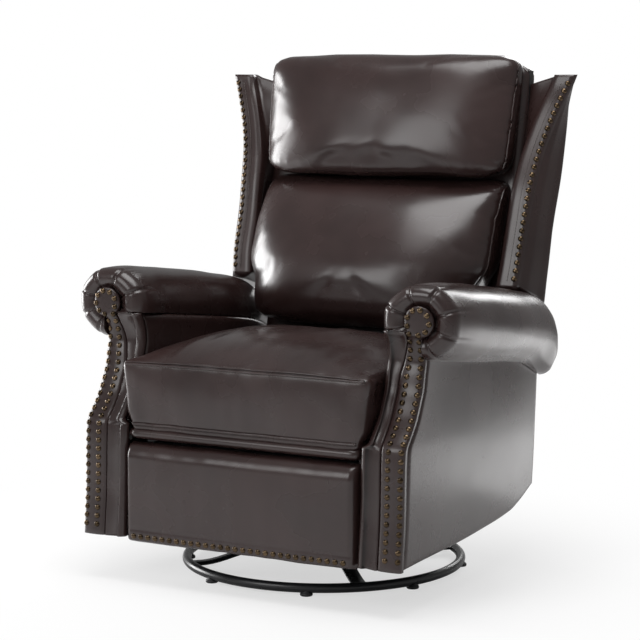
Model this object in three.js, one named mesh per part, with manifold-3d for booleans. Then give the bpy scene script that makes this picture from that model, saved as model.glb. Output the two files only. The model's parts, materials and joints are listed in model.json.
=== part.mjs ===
// Wingback swivel rocker recliner: leather-covered arms, wings and cushions over a steel chassis, on a round
// floor ring. It swivels and rocks, its back reclines, and its footrest folds out on four links a side.
// Millimetres, +Z up. The sitter faces -Y, and the sitter's left is +X.
import * as THREE from 'three';
import { mergeVertices } from 'three/addons/utils/BufferGeometryUtils.js';
import Module from 'manifold-3d';

const wasm = await Module();
wasm.setup();

// Clearances
const gap = 0.3;
const pinGap = 0.4;
const openPivotGap = 3.2;
const overrun = 4;

// Widths: the arms' outer faces set the width, and each piece inside them has its place from there
const armOuter = 360;
const armFrontPanelWidth = 50;
const armFrameRecess = 68;
const armFrameThickness = 18;
const armPadThickness = 15;
const armBandStand = 13;
const armCleatWidth = 36;
const cushionSideGap = 2;
const backRecess = 55;
const armFrontPanelInner = armOuter - armFrontPanelWidth;
const armFrameInner = armOuter - armFrameRecess;
const armPadInner = armFrameInner - armPadThickness;
const armBandInner = armPadInner - armBandStand;
const backHalfWidth = armOuter - backRecess;

// Floor ring, glides and hub
const ringRadius = 285;
const ringTube = 19;
const glideCount = 8;
const glideDiameter = 25;
const glideFoot = 5.5;
const armBarWidth = 30;
const armBarThickness = 6;
const hubDiameter = 150;
const hubThickness = 8;
const hubTop = 60;
const raceDiameter = 110;
const raceHeight = 5;

// Swivel plate, rocker brackets, springs and shaft
const swivelPlateWidth = 200;
const swivelPlateDepth = 150;
const swivelPlateThickness = 4;
const rockHeight = 150;
const shaftDiameter = 16;
const rockerBracketPlace = 85;
const rockerBracketThickness = 5;
const rockerBracketFoot = 56;
const rockerBracketHead = 36;
const springPlace = 48;
const springDiameter = 34;
const springWire = 5;
const springTurns = 4;

// Steel chassis
const plateOuter = armFrameInner - armCleatWidth;
const plateThickness = 4;
const plateFront = 232;
const plateRear = 215;
const plateBottom = 118;
const plateTop = 271.7;
const crossRailWidth = 24;
const crossRailHeight = 18;
const crossRailBottom = 112;
const valanceThickness = 15;
const valanceRear = 261.5;
const valanceBottom = 165;
const valanceTop = 380;

// Footrest linkage: pivots on the plate, link lengths, and angles from straight ahead when it is closed
const drivePivotForward = 145.3;
const drivePivotHeight = 226;
const guidePivotForward = 195.8;
const guidePivotHeight = 262;
const linkALength = 116.8;
const linkBLength = 153.7;
const linkBCross = 120.4;
const linkCLength = 238.8;
const linkDLength = 171.3;
const boardPivotSpacing = 45;
const linkAAngle = -127.495;
const linkBAngle = -126.246;
const linkCAngle = 32.716;
const linkDAngle = 29.949;
const boardPivotAngle = -118.625;
const linkWidth = 18;
const linkThickness = 4;
const linkGap = 0.6;
const linkPin = 8;
const driveTubeDiameter = 16;

// Release lever
const leverShaft = 12;
const leverReach = 8;
const leverThickness = 9;
const leverLength = 118;
const leverHubDiameter = 34;
const leverTipDiameter = 26;
const leverAngle = -18;

// Footrest
const footrestHalfWidth = armBandInner - cushionSideGap;
const footrestFront = 350;
const footrestTop = 283;
const footrestBottom = 85;
const footrestPadThickness = 45;
const footrestBoardThickness = 15;
const footrestBoardInset = 12;
const mountRailHeight = 34;
const mountRailThickness = 4;
const mountBracketWidth = 20;

// Seat
const seatRailHeight = 24;
const seatRailThickness = 4;
const seatRailFlange = 26;
const seatRailFront = 276;
const seatRailRear = 236;
const seatCrossDepth = 25;
const deckWire = 3.6;
const deckRows = 5;
const deckLoops = 8;
const deckSwing = 26;
const deckTieShares = [0.3, 0.7];
const deckTieWire = 3.2;
const seatBottom = 303;
const seatFront = 333;
const seatRear = 150;
const seatHalfWidth = armBandInner - cushionSideGap;
const seatSeam = 447;
const seatCrownRise = 55;
const seatCrown = seatSeam + seatCrownRise;
const seatFlareInset = 9;
const seatFlare = armFrameInner - seatFlareInset;
const seatClearance = 1.8;
const seatRound = 4;

// Hinge of the back
const hingeRear = 220;
const hingeHeight = 360;
const hingeEar = 28;
const hingePin = 10;
const hingeBracketThickness = 4;
const hingeBracketTop = 525;
const hingeBracketWidth = 18;
const hingeClearance = 0.7;

// Arms
const armPanelThickness = 10;
const armFrontPanelThickness = 12;
const armBandDepth = 25;
const armLedge = 324;
const armBottom = 91;
const armRise = 386;
const armNear = 256;
const armSweep = 94;
const armFrameBottom = 118;
const armFrameRear = 246;
const armPanelRear = 280;
const armRearFoot = 257;
const armRearFootHeight = 159;
const armRearTopHeight = 385;
const cleatHeight = 26;
const armPadBottom = 292;

// Arm roll and its keyhole head
const rollCentreInset = 4;
const rollCentre = armOuter - rollCentreInset;
const rollRadius = 76;
const rollFront = 262;
const rollFace = 264;
const rollTopFront = 624;
const rollDrop = 224;
const creaseFront = 479;
const creaseDrop = 94;
const headInset = 6;
const headX = armOuter - headInset;
const headZ = 552;
const headRadius = 31;
const headNailRadius = 24;
const headFront = 272;
const headStartAngle = 225;
const headEndAngle = -75;
const neckStart = 430;
const neckMiddle = 480;
const neckTop = 515;
const neckDraw = 8;
const neckTopDraw = 18;
const rollSeatShare = 0.25;
const rollFullShare = 1.01;

// Back
const backBottom = 378;
const backTop = 1028;
const backRearFoot = 222;
const backRearSweep = 148;
const backPanelThickness = 10;
const backBoardThickness = 18;
const backStep = 556;
const backCushionLift = 35;
const backCushionBottom = seatSeam + backCushionLift;
const backCushionTop = 792;
const backCushionInset = 5;
const backCushionHalfWidth = backHalfWidth - backCushionInset;
const backCushionDraw = 15;
const backCushionLowHalfWidth = armPadInner - backCushionDraw;
const backCushionDepth = 190;
const pillowBottom = 796;
const pillowTop = 1050;
const pillowInset = 8;
const pillowHalfWidth = backHalfWidth - pillowInset;
const pillowDepth = 128;

// Wings
const wingBottom = 575;
const wingTop = 1006;
const wingFrontFoot = 193;
const wingFrontSweep = 128;
const wingWaistInset = 14;
const wingWaist = armOuter - wingWaistInset;
const wingFlare = 63;
const wingBand = 38;
const wingRearStand = 2;
const wingRearOuter = armOuter + wingRearStand;
const wingRearFlare = 12;
const wingRound = 8;
const wingTopFall = 33;
const wingNailInset = 12;
const wingNailEndShare = 0.015;
const wingFootShare = 0.25;
const wingTopFallPower = 4;

// Nailhead trim
const nailPitch = 17;
const nailDiameter = 10.5;
const nailHeight = 3.4;
const trimWidth = 6;
const trimThickness = 2;
const nailEdge = 4;
const armNailInnerInset = 17;
const armNailOuterInset = 6;
const armNailInner = armFrontPanelInner + armNailInnerInset;
const armNailOuter = armOuter - armNailOuterInset;
const armNailBottom = 99;
const footrestNailHeight = 97;
const footrestNailInset = 12;
const footrestNailEnd = footrestHalfWidth - footrestNailInset;

// Share tables: the first value runs along the length, the second across it
const armFrontShares = [
  [0, 1], [0.26, 0.904], [0.5, 0.872], [0.585, 0.842], [0.61, 0.79], [0.63, 0.72], [0.663, 0.6],
  [0.728, 0.404], [0.798, 0.255], [0.865, 0.128], [0.938, 0.064], [1, 0], [1.05, 0.02], [1.09, 0.07],
  [1.115, 0.12], [1.135, 0.17], [1.3, 0.17],
];
const armBottomShares = [
  [0, 0], [0.2, 0.085], [0.39, 0.113], [0.647, 0.239], [0.8, 0.366], [0.89, 0.592], [1, 1],
];
const rollTopShares = [
  [0, 0], [0.085, 0.009], [0.3, 0.0625], [0.467, 0.112], [0.668, 0.183], [0.878, 0.272],
  [0.926, 0.33], [0.967, 0.464], [0.991, 0.687], [1, 0.93],
];
const rollFaceShares = [[0, 0.8], [0.25, 0.91], [0.6, 0.98], [1, 1]];
const creaseShares = [[0, 0], [0.461, 0.34], [0.799, 0.585], [1, 1]];
const backRearShares = [
  [0, 0], [0.065, 0.122], [0.234, 0.324], [0.48, 0.6], [0.726, 0.865], [0.95, 0.98], [1, 1],
];
const backFrontShares = [
  [0, 0.5], [0.03, 0.3], [0.1, 0.1], [0.22, 0], [0.4, 0.03], [0.6, 0.13], [0.8, 0.3], [0.92, 0.46], [1, 0.78],
];
const pillowFrontShares = [
  [0, 0.3], [0.03, 0.1], [0.1, 0.02], [0.2, 0], [0.42, 0.1], [0.62, 0.26], [0.8, 0.46], [0.92, 0.64],
  [1, 0.92],
];
const wingFrontShares = [
  [0, 0, 0], [0.12, 0.1, 0.06], [0.27, 0.26, 0.08], [0.43, 0.4, 0.13], [0.58, 0.57, 0.22], [0.73, 0.73, 0.43],
  [0.88, 0.88, 0.73], [0.95, 0.96, 0.9], [1, 1, 1],
];
const backWidthShares = [[0, 0], [0.25, 0], [0.45, 1], [1, 1]];
const backCushionEndShare = 0.985;
const pillowEndShare = 0.96;
const footrestFrontShares = [
  [0, 0.7, 0.985], [0.015, 0.93, 0.995], [0.035, 1, 1], [0.5, 1, 1], [0.8, 1, 1], [0.9, 0.95, 1],
  [0.97, 0.78, 0.995], [1, 0.55, 0.985],
];
const seatCrownShares = [0.97, 0.86, 0.6, 0.3];
const seatTopShares = [
  [0, 0], [0.03, 0.18], [0.1, 0.55], [0.22, 0.86], [0.42, 1], [0.62, 0.93], [0.8, 0.66], [0.92, 0.44],
  [1, 0.2],
];

// Materials
const leather = new THREE.MeshStandardMaterial({ color: 0x2b1a13, roughness: 0.42, metalness: 0 });
const steel = new THREE.MeshStandardMaterial({ color: 0x8d9094, roughness: 0.35, metalness: 0.9 });
const blackSteel = new THREE.MeshStandardMaterial({ color: 0x111113, roughness: 0.4, metalness: 0.5 });
const plastic = new THREE.MeshStandardMaterial({ color: 0x17171a, roughness: 0.55, metalness: 0 });
const plywood = new THREE.MeshStandardMaterial({ color: 0xb98f5e, roughness: 0.7, metalness: 0 });
const antiqueBrass = new THREE.MeshStandardMaterial({ color: 0x8a6a44, roughness: 0.35, metalness: 1 });

const chair = new THREE.Group();
const sides = [{ name: 'left', sign: 1 }, { name: 'right', sign: -1 }];
const degree = Math.PI / 180;
const half = 0.5;
const mergeShare = 0.01;
const barSides = 16;
const discSides = 32;
const pinSides = 12;

// Geometry helpers

function solid(geometry) {
  const bare = geometry.clone();
  bare.deleteAttribute('normal');
  bare.deleteAttribute('uv');
  const merged = mergeVertices(bare, gap * mergeShare);
  const vertProperties = new Float32Array(merged.attributes.position.array);
  const triVerts = new Uint32Array(merged.index.array);
  return new wasm.Manifold(new wasm.Mesh({ numProp: 3, vertProperties, triVerts }));
}

function shape(manifold) {
  const mesh = manifold.getMesh();
  const geometry = new THREE.BufferGeometry();
  geometry.setAttribute('position', new THREE.BufferAttribute(new Float32Array(mesh.vertProperties), 3));
  geometry.setIndex(new THREE.BufferAttribute(new Uint32Array(mesh.triVerts), 1));
  geometry.computeVertexNormals();
  return geometry;
}

function join(...parts) {
  return parts.reduce((sum, part) => sum.add(part));
}

function cut(body, ...tools) {
  return tools.reduce((rest, tool) => rest.subtract(tool), body);
}

function add(name, manifold, material, side = sides[0]) {
  const geometry = shape(side.sign > 0 ? manifold : manifold.mirror([1, 0, 0]));
  const mesh = new THREE.Mesh(geometry, material);
  mesh.name = name;
  chair.add(mesh);
}

// The value at t of a table whose rows start with their place
function along(table, t, column = 1) {
  const last = table.length - 1;
  let row = 0;
  while (row < last - 1 && table[row + 1][0] < t) row += 1;
  const [low, high] = [table[row], table[row + 1]];
  const part = THREE.MathUtils.clamp((t - low[0]) / (high[0] - low[0]), 0, 1);
  return THREE.MathUtils.lerp(low[column], high[column], part);
}

function outlineOf(points) {
  return new THREE.Shape(points.map(([a, b]) => new THREE.Vector2(a, b)));
}

// A slab: an outline carried from one place to another along an axis. The outline is (y, z) along x,
// (x, z) along y and (x, y) along z.
function slab(axis, points, from, to) {
  const geometry = new THREE.ExtrudeGeometry(outlineOf(points), { depth: to - from, bevelEnabled: false });
  const turn = new THREE.Matrix4();
  if (axis === 'x') turn.set(0, 0, 1, from, 1, 0, 0, 0, 0, 1, 0, 0, 0, 0, 0, 1);
  if (axis === 'y') turn.set(1, 0, 0, 0, 0, 0, -1, to, 0, 1, 0, 0, 0, 0, 0, 1);
  if (axis === 'z') turn.set(1, 0, 0, 0, 0, 1, 0, 0, 0, 0, 1, from, 0, 0, 0, 1);
  return solid(geometry.applyMatrix4(turn));
}

function box(x0, x1, y0, y1, z0, z1) {
  const geometry = new THREE.BoxGeometry(x1 - x0, y1 - y0, z1 - z0);
  return solid(geometry.translate((x0 + x1) * half, (y0 + y1) * half, (z0 + z1) * half));
}

// A round bar along x or z
function bar(axis, radius, from, to, a, b, sideCount = barSides) {
  const geometry = new THREE.CylinderGeometry(radius, radius, to - from, sideCount);
  const middle = (from + to) * half;
  if (axis === 'x') geometry.rotateZ(90 * degree).translate(middle, a, b);
  if (axis === 'z') geometry.rotateX(90 * degree).translate(a, b, middle);
  return solid(geometry);
}

// A closed skin over rings of equal count, with a flat fan on each end
function loft(rings) {
  const count = rings[0].length;
  const points = rings.flat();
  const index = [];
  for (let ring = 0; ring < rings.length - 1; ring += 1) {
    for (let i = 0; i < count; i += 1) {
      const a = ring * count + i;
      const b = ring * count + ((i + 1) % count);
      index.push(a, b, b + count, a, b + count, a + count);
    }
  }
  for (const [start, flip] of [[0, true], [(rings.length - 1) * count, false]]) {
    const centre = points.length;
    const middle = new THREE.Vector3();
    for (let i = 0; i < count; i += 1) middle.add(points[start + i]);
    points.push(middle.divideScalar(count));
    for (let i = 0; i < count; i += 1) {
      const next = start + ((i + 1) % count);
      index.push(centre, flip ? next : start + i, flip ? start + i : next);
    }
  }
  const geometry = new THREE.BufferGeometry();
  const places = points.flatMap((point) => [point.x, point.y, point.z]);
  geometry.setAttribute('position', new THREE.Float32BufferAttribute(places, 3));
  geometry.setIndex(index);
  return volumeOut(geometry);
}

// Turns a skin's faces outwards if they point in
function volumeOut(geometry) {
  const position = geometry.attributes.position;
  const index = geometry.index.array;
  const corner = (i) => new THREE.Vector3().fromBufferAttribute(position, index[i]);
  let volume = 0;
  for (let i = 0; i < index.length; i += 3) volume += corner(i).dot(corner(i + 1).cross(corner(i + 2)));
  if (volume < 0) {
    for (let i = 0; i < index.length; i += 3) [index[i], index[i + 1]] = [index[i + 1], index[i]];
  }
  return solid(geometry);
}

// An upright cushion's section at a height: a flat back, and a front that swells from the side seams
const ringSteps = 10;
const swellPower = 3.2;
const seamShare = 0.3;
const backEdgeShare = 0.1;
const backWidthShare = 0.96;

function cushionFront(halfWidth, front, back, level, power) {
  const points = [];
  for (let i = 0; i <= ringSteps; i += 1) {
    const s = Math.sin((i / ringSteps - half) * 180 * degree);
    const swell = (1 - Math.abs(s) ** power) ** half;
    const depth = (front - back) * (seamShare + (1 - seamShare) * swell);
    points.push(new THREE.Vector3(halfWidth * s, back + depth, level));
  }
  return points;
}

function cushionRing(halfWidth, front, back, level, power = swellPower) {
  const points = cushionFront(halfWidth, front, back, level, power);
  const edge = back + (front - back) * backEdgeShare;
  points.push(new THREE.Vector3(halfWidth, edge, level));
  points.push(new THREE.Vector3(halfWidth * backWidthShare, back, level));
  points.push(new THREE.Vector3(-halfWidth * backWidthShare, back, level));
  points.push(new THREE.Vector3(-halfWidth, edge, level));
  return points;
}

// Base: floor ring, cross arms, hub and bearing race
const ringHeight = glideFoot + ringTube * half;
const ringSegments = 48;
const tubeSegments = 8;

function torus(radius) {
  const ring = new THREE.TorusGeometry(ringRadius, radius, tubeSegments, ringSegments);
  return solid(ring.translate(0, 0, ringHeight));
}

function addBase() {
  let frame = torus(ringTube * half);
  const hubRadius = hubDiameter * half;
  const hubMiddle = hubTop - hubThickness * half;
  const drop = armBarThickness * half;
  const rise = [
    [hubRadius - armBarWidth, hubMiddle + drop], [hubRadius - armBarWidth, hubMiddle - drop],
    [hubRadius, hubMiddle - drop], [ringRadius, ringHeight - drop], [ringRadius, ringHeight + drop],
    [hubRadius, hubMiddle + drop],
  ];
  for (let turn = 45; turn < 360; turn += 90) {
    frame = frame.add(slab('y', rise, -armBarWidth * half, armBarWidth * half).rotate([0, 0, turn]));
  }
  const race = bar('z', raceDiameter * half, hubMiddle, hubTop + raceHeight, 0, 0, discSides);
  frame = join(frame, bar('z', hubRadius, hubTop - hubThickness, hubTop, 0, 0, discSides), race);
  add('base_ring_frame', frame, blackSteel);
  const saddle = torus(ringTube * half + gap);
  for (let i = 0; i < glideCount; i += 1) {
    const turn = ((i + half) * 360 * degree) / glideCount;
    const [x, y] = [ringRadius * Math.sin(turn), -ringRadius * Math.cos(turn)];
    const peg = bar('z', glideDiameter * half, 0, ringHeight, x, y, pinSides);
    add(`base_glide_${i + 1}`, cut(peg, saddle), plastic);
  }
}

// Swivel plate, rocker springs
const swivelPlateBottom = hubTop + raceHeight + gap;
const swivelPlateTop = swivelPlateBottom + swivelPlateThickness;

function addSwivel() {
  const halfWidth = swivelPlateWidth * half;
  const halfDepth = swivelPlateDepth * half;
  const halfThick = rockerBracketThickness * half;
  let plate = box(-halfWidth, halfWidth, -halfDepth, halfDepth, swivelPlateBottom, swivelPlateTop);
  const foot = rockerBracketFoot * half;
  const head = rockerBracketHead * half;
  const cheek = [
    [-foot, swivelPlateBottom], [foot, swivelPlateBottom], [head, rockHeight], [-head, rockHeight],
  ];
  for (const side of sides) {
    const place = side.sign * rockerBracketPlace;
    plate = join(
      plate,
      slab('x', cheek, place - halfThick, place + halfThick),
      bar('x', head, place - halfThick, place + halfThick, 0, rockHeight),
    );
  }
  const hole = bar('x', shaftDiameter * half + pinGap, -halfWidth, halfWidth, 0, rockHeight);
  add('swivel_upper_plate', cut(plate, hole), steel);
  addSpring('rocker_spring_front', -springPlace);
  addSpring('rocker_spring_rear', springPlace);
}

function addSpring(name, place) {
  const low = swivelPlateTop + gap + springWire * half;
  const high = crossRailBottom - gap - springWire * half;
  const radius = (springDiameter - springWire) * half;
  const stepsPerTurn = 8;
  const wireSides = 5;
  const coil = new THREE.Curve();
  coil.getPoint = (t, target = new THREE.Vector3()) => {
    const turn = t * springTurns * 360 * degree;
    return target.set(radius * Math.cos(turn), place + radius * Math.sin(turn), low + (high - low) * t);
  };
  const rings = [];
  for (let i = 0; i <= springTurns * stepsPerTurn; i += 1) {
    const t = i / (springTurns * stepsPerTurn);
    const centre = coil.getPoint(t);
    const out = new THREE.Vector3(centre.x, centre.y - place, 0).normalize();
    rings.push(Array.from({ length: wireSides }, (_, k) => {
      const angle = (k * 360 * degree) / wireSides;
      return centre.clone().addScaledVector(out, springWire * half * Math.cos(angle))
        .add(new THREE.Vector3(0, 0, springWire * half * Math.sin(angle)));
    }));
  }
  add(name, loft(rings), steel);
}

// Chassis: mechanism plates, cross rails, shaft and rear valance
const plateInner = plateOuter - plateThickness;
const drivePivot = [-drivePivotForward, drivePivotHeight];
const guidePivot = [-guidePivotForward, guidePivotHeight];

function addChassis() {
  const chamfer = drivePivotHeight - plateBottom - linkWidth;
  const outline = [
    [-plateFront, plateTop], [-plateFront, guidePivotHeight - linkWidth], [-drivePivotForward, rockHeight],
    [-drivePivotForward + chamfer, plateBottom], [plateRear - chamfer, plateBottom],
    [plateRear, plateBottom + chamfer], [plateRear, plateTop],
  ];
  for (const side of sides) {
    const holes = [[0, rockHeight, shaftDiameter], [...drivePivot, linkPin], [...guidePivot, linkPin]];
    const [from, to] = [plateInner - overrun, plateOuter + overrun];
    const bores = holes.map(([y, z, size]) => bar('x', size * half + pinGap, from, to, y, z));
    const plate = cut(slab('x', outline, plateInner, plateOuter), ...bores);
    add(`mechanism_plate_${side.name}`, plate, steel, side);
  }
  const reach = plateInner - gap;
  const halfRail = crossRailWidth * half;
  const railTop = crossRailBottom + crossRailHeight;
  for (const [name, y] of [['front', -springPlace], ['rear', springPlace]]) {
    const rail = box(-reach, reach, y - halfRail, y + halfRail, crossRailBottom, railTop);
    add(`${name}_cross_rail`, rail, steel);
  }
  add('rock_pivot_shaft', bar('x', shaftDiameter * half, -plateOuter, plateOuter, 0, rockHeight), steel);
  const wide = armFrameInner - gap;
  const board = box(-wide, wide, valanceRear - valanceThickness, valanceRear, valanceBottom, valanceTop);
  add('rear_valance', board, leather);
}

// Arms. Each place is worked out for the left arm, and the right arm is its mirror image.
const armTop = armBottom + armRise;

// The front edge of the arm, as y at a height
function armFrontY(z) {
  return -(armNear + armSweep * along(armFrontShares, (z - armBottom) / armRise));
}

const rollLength = rollFront + armPanelRear;
function rollTopZ(y) {
  return rollTopFront - rollDrop * along(rollTopShares, (y + rollFront) / rollLength);
}

function creaseZ(y) {
  return creaseFront - creaseDrop * along(creaseShares, (y + rollFront) / rollLength);
}

// The roll's underside, which rests on the arm's frame: a run of flat stretches
const rollSeatSteps = 12;
const rollSeatLine = Array.from({ length: rollSeatSteps + 1 }, (_, i) => {
  const y = THREE.MathUtils.lerp(-rollFront, armPanelRear, i / rollSeatSteps);
  const radius = (rollTopZ(y) - creaseZ(y)) * half;
  return [y, creaseZ(y) + radius * (1 - rollSeatShare)];
});

function rollSeatZ(y) {
  return along(rollSeatLine, y);
}

function rollSeatBetween(front, rear) {
  const inside = rollSeatLine.filter(([y]) => y > front && y < rear);
  return [[front, rollSeatZ(front)], ...inside, [rear, rollSeatZ(rear)]];
}

const armFoot = armNear + armSweep;
const armFootLength = armFoot + armRearFoot;
function armBottomZ(y) {
  return armBottom + (armRearFootHeight - armBottom) * along(armBottomShares, (y + armFoot) / armFootLength);
}

// The side outline of a piece of the arm: its front follows the S-curve at an inset, and its top the roll
function armOutline(inset, bottom, rear) {
  const points = [];
  const top = rollSeatZ(-armNear + inset) - gap;
  for (const [share] of armFrontShares) {
    const z = armBottom + armRise * share;
    if (z > bottom && z < top) points.push([armFrontY(z) + inset, z]);
  }
  points.unshift([armFrontY(bottom) + inset, bottom]);
  const front = armFrontY(top) + inset;
  return [...points, ...rollSeatBetween(front, rear).map(([y, z]) => [y, z - gap])];
}

// The strip that follows the S-curve from the front edge to a depth behind it, between two heights
function frontStrip(depth, bottom, top) {
  const heights = [bottom];
  for (const [share] of armFrontShares) {
    const z = armBottom + armRise * share;
    if (z > bottom && z < top) heights.push(z);
  }
  heights.push(top);
  const front = heights.map((z) => [armFrontY(z), z]);
  const back = heights.map((z) => [armFrontY(z) + depth, z]).reverse();
  return [...front, ...back];
}

// The keyhole outline of the front panel, as x and z
const headSteps = 16;

function keyholeNeck(grow) {
  return [
    [armFrontPanelInner - grow, neckStart], [armFrontPanelInner + neckDraw - grow, neckMiddle],
    [armFrontPanelInner + neckTopDraw - grow, neckTop],
  ];
}

function headArc(radius, fromDegrees, toDegrees, steps) {
  return Array.from({ length: steps + 1 }, (_, i) => {
    const angle = THREE.MathUtils.lerp(fromDegrees, toDegrees, i / steps) * degree;
    return [headX + radius * Math.cos(angle), headZ + radius * Math.sin(angle)];
  });
}

const headFoot = rollSeatZ(-armNear) - overrun;

function keyholeOutline() {
  return [
    [armOuter, armBottom], [armFrontPanelInner, armBottom], ...keyholeNeck(0),
    ...headArc(headRadius, headStartAngle, headEndAngle, headSteps), [armOuter, neckTop],
  ];
}

function addArm(side) {
  const rollSide = armOuter + gap;
  const headTop = headZ + headRadius;

  // Plywood frame: an upright board, two cleats for the mechanism plate and a rail under the roll
  const frameInset = armBandDepth + gap;
  const board = slab('x', [
    [armFrameRear, armFrameBottom], ...armOutline(frameInset, armFrameBottom, armFrameRear),
  ], armFrameInner, armFrameInner + armFrameThickness);
  const cleatFront = -plateFront;
  const cleatRear = plateRear;
  const cleats = [plateBottom + cleatHeight * half, plateTop - cleatHeight * 2].map((z) => box(
    plateOuter + gap, armFrameInner + gap, cleatFront, cleatRear, z, z + cleatHeight,
  ));
  const railInset = armFrontPanelThickness + frameInset;
  const topRail = slab('x', armOutline(railInset, armTop - armFrameThickness * 2, armFrameRear)
    .slice(1), armFrameInner, armOuter - armPanelThickness - gap);
  let frame = join(board, ...cleats, topRail.intersect(underRoll(armFrameThickness)));
  const reliefs = [[0, rockHeight, shaftDiameter + leverShaft], [...drivePivot, leverShaft + linkPin]];
  for (const [y, z, size] of reliefs) {
    frame = cut(frame, bar('x', size * half, plateInner, armOuter, y, z));
  }
  add(`arm_frame_${side.name}`, frame, plywood, side);

  // Outer side panel
  const bottomEdge = armBottomShares.map(([share]) => {
    const y = share * armFootLength - armFoot;
    return [y, armBottomZ(y)];
  }).reverse();
  const panelInset = armFrontPanelThickness + gap;
  const frontFoot = armFrontY(armBottom) + panelInset;
  const panelOutline = [
    ...bottomEdge.filter(([y]) => y > frontFoot), ...armOutline(panelInset, armBottom, armPanelRear),
    [armPanelRear, armRearTopHeight],
  ];
  let panel = slab('x', panelOutline, armOuter - armPanelThickness, armOuter);
  if (side.sign < 0) {
    panel = cut(panel, bar('x', leverShaft * half + pinGap, plateInner, armOuter + overrun, ...drivePivot));
  }
  add(`arm_outer_panel_${side.name}`, panel, leather, side);

  // Keyhole front panel
  const strip = frontStrip(armFrontPanelThickness, armBottom, headTop);
  const keyhole = slab('y', keyholeOutline(), -footrestFront - overrun, 0);
  const head = slab('x', [
    [-headFront, armBottom + armRise], [-rollFace - gap, armBottom + armRise],
    [-rollFace - gap, headTop + overrun], [-headFront, headTop + overrun],
  ], 0, rollCentre + rollRadius);
  const low = slab('x', strip, armFrontPanelInner, armOuter).intersect(
    box(0, armOuter, -footrestFront - overrun, 0, armBottom, rollSeatZ(-armNear) - gap),
  );
  const headSlab = head.intersect(box(0, rollCentre + rollRadius, -footrestFront, 0, headFoot, headTop));
  const frontPanel = join(low, headSlab).intersect(keyhole);
  add(`arm_front_panel_${side.name}`, frontPanel, leather, side);

  // Inner pad with the front band
  const padTop = rollSeatZ(-armNear) - gap;
  const bandOuter = armFrontPanelInner - gap;
  const ledge = armLedge - gap;
  const bandLow = slab('x', frontStrip(armBandDepth, armBottom, armLedge), armBandInner, bandOuter);
  const bandFace = slab('y', [
    [armPadInner, ledge], [bandOuter, ledge], ...keyholeNeck(gap),
    [headX - headRadius, padTop], [armPadInner, padTop],
  ], -footrestFront, 0);
  const bandRise = slab('x', frontStrip(armBandDepth, ledge, padTop), armPadInner, rollCentre);
  const bandHigh = bandRise.intersect(bandFace);
  const padOutline = [
    [armFrameRear - gap, armPadBottom],
    ...armOutline(armBandDepth - overrun, armPadBottom, armFrameRear - gap),
  ];
  const pad = slab('x', padOutline, armPadInner, armFrameInner - gap);
  const roof = rollSeatBetween(-footrestFront, armPanelRear).map(([y, z]) => [y, z - gap]);
  const above = slab('x', [...roof, [armPanelRear, headTop], [-footrestFront, headTop]], 0, armOuter);
  add(`arm_inner_pad_${side.name}`, cut(join(bandLow, bandHigh, pad), above), leather, side);

  addRoll(side, rollSide);
  addArmNails(side, frontPanel.translate([0, -gap, 0]));
}

// The space down to a depth under the roll's seat, for the rail that carries the roll
function underRoll(depth) {
  const top = rollSeatBetween(-armNear, armPanelRear);
  const bottom = top.map(([y, z]) => [y, z - depth]).reverse();
  return slab('x', [...top, ...bottom], 0, armOuter);
}

// The rolled top: round sections from the front face to the rounded rear end
const rollPoints = 24;

function addRoll(side, rollSide) {
  const stations = [];
  for (const [share, size] of rollFaceShares) {
    stations.push([THREE.MathUtils.lerp(-rollFace, -armNear + overrun, share), size]);
  }
  for (const [share] of rollTopShares) {
    const y = -rollFront + share * rollLength;
    if (y > stations[stations.length - 1][0]) stations.push([y, 1]);
  }
  const rings = stations.map(([y, size]) => {
    const low = creaseZ(y);
    const radius = (rollTopZ(y) - low) * half;
    const wide = rollRadius * Math.min(1, (radius / rollRadius) ** half * rollFullShare);
    return Array.from({ length: rollPoints }, (_, i) => {
      const angle = (i * 360 * degree) / rollPoints;
      return new THREE.Vector3(
        rollCentre + wide * size * Math.cos(angle), y, low + radius + radius * size * Math.sin(angle),
      );
    });
  });
  const front = -rollFace - overrun;
  const rear = armPanelRear + overrun;
  const below = [[rear, armBottom], [front, armBottom], ...rollSeatBetween(front, rear)].reverse();
  const notch = slab('x', below, 0, rollSide);
  add(`arm_roll_${side.name}`, cut(loft(rings), notch), leather, side);
}

// Nailhead trim: a thin band along a path, raised to a stud every pitch. A path point has its place and the
// direction that the nails face.
function nailStrip(path) {
  const lengths = [0];
  for (let i = 1; i < path.length; i += 1) {
    lengths.push(lengths[i - 1] + path[i].place.distanceTo(path[i - 1].place));
  }
  const total = lengths[lengths.length - 1];
  const at = (s) => {
    let i = 1;
    while (i < path.length - 1 && lengths[i] < s) i += 1;
    const part = (s - lengths[i - 1]) / (lengths[i] - lengths[i - 1]);
    return {
      place: path[i - 1].place.clone().lerp(path[i].place, part),
      face: path[i - 1].face.clone().lerp(path[i].face, part).normalize(),
      ahead: path[i].place.clone().sub(path[i - 1].place).normalize(),
    };
  };
  const radius = nailDiameter * half;
  const count = Math.floor((total - nailDiameter) / nailPitch);
  const start = (total - count * nailPitch) * half;
  const rings = [];
  for (let n = 0; n <= count; n += 1) {
    for (const offset of [-1, 0, 1]) {
      const { place, face, ahead } = at(start + n * nailPitch + offset * radius);
      const across = ahead.clone().cross(face).normalize();
      const [wide, high] = offset ? [trimWidth * half, trimThickness] : [radius, nailHeight];
      const foot = place.clone().addScaledVector(face, gap);
      rings.push([
        foot.clone().addScaledVector(across, -wide), foot.clone().addScaledVector(across, wide),
        foot.clone().addScaledVector(face, high),
      ]);
    }
  }
  return loft(rings);
}

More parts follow.
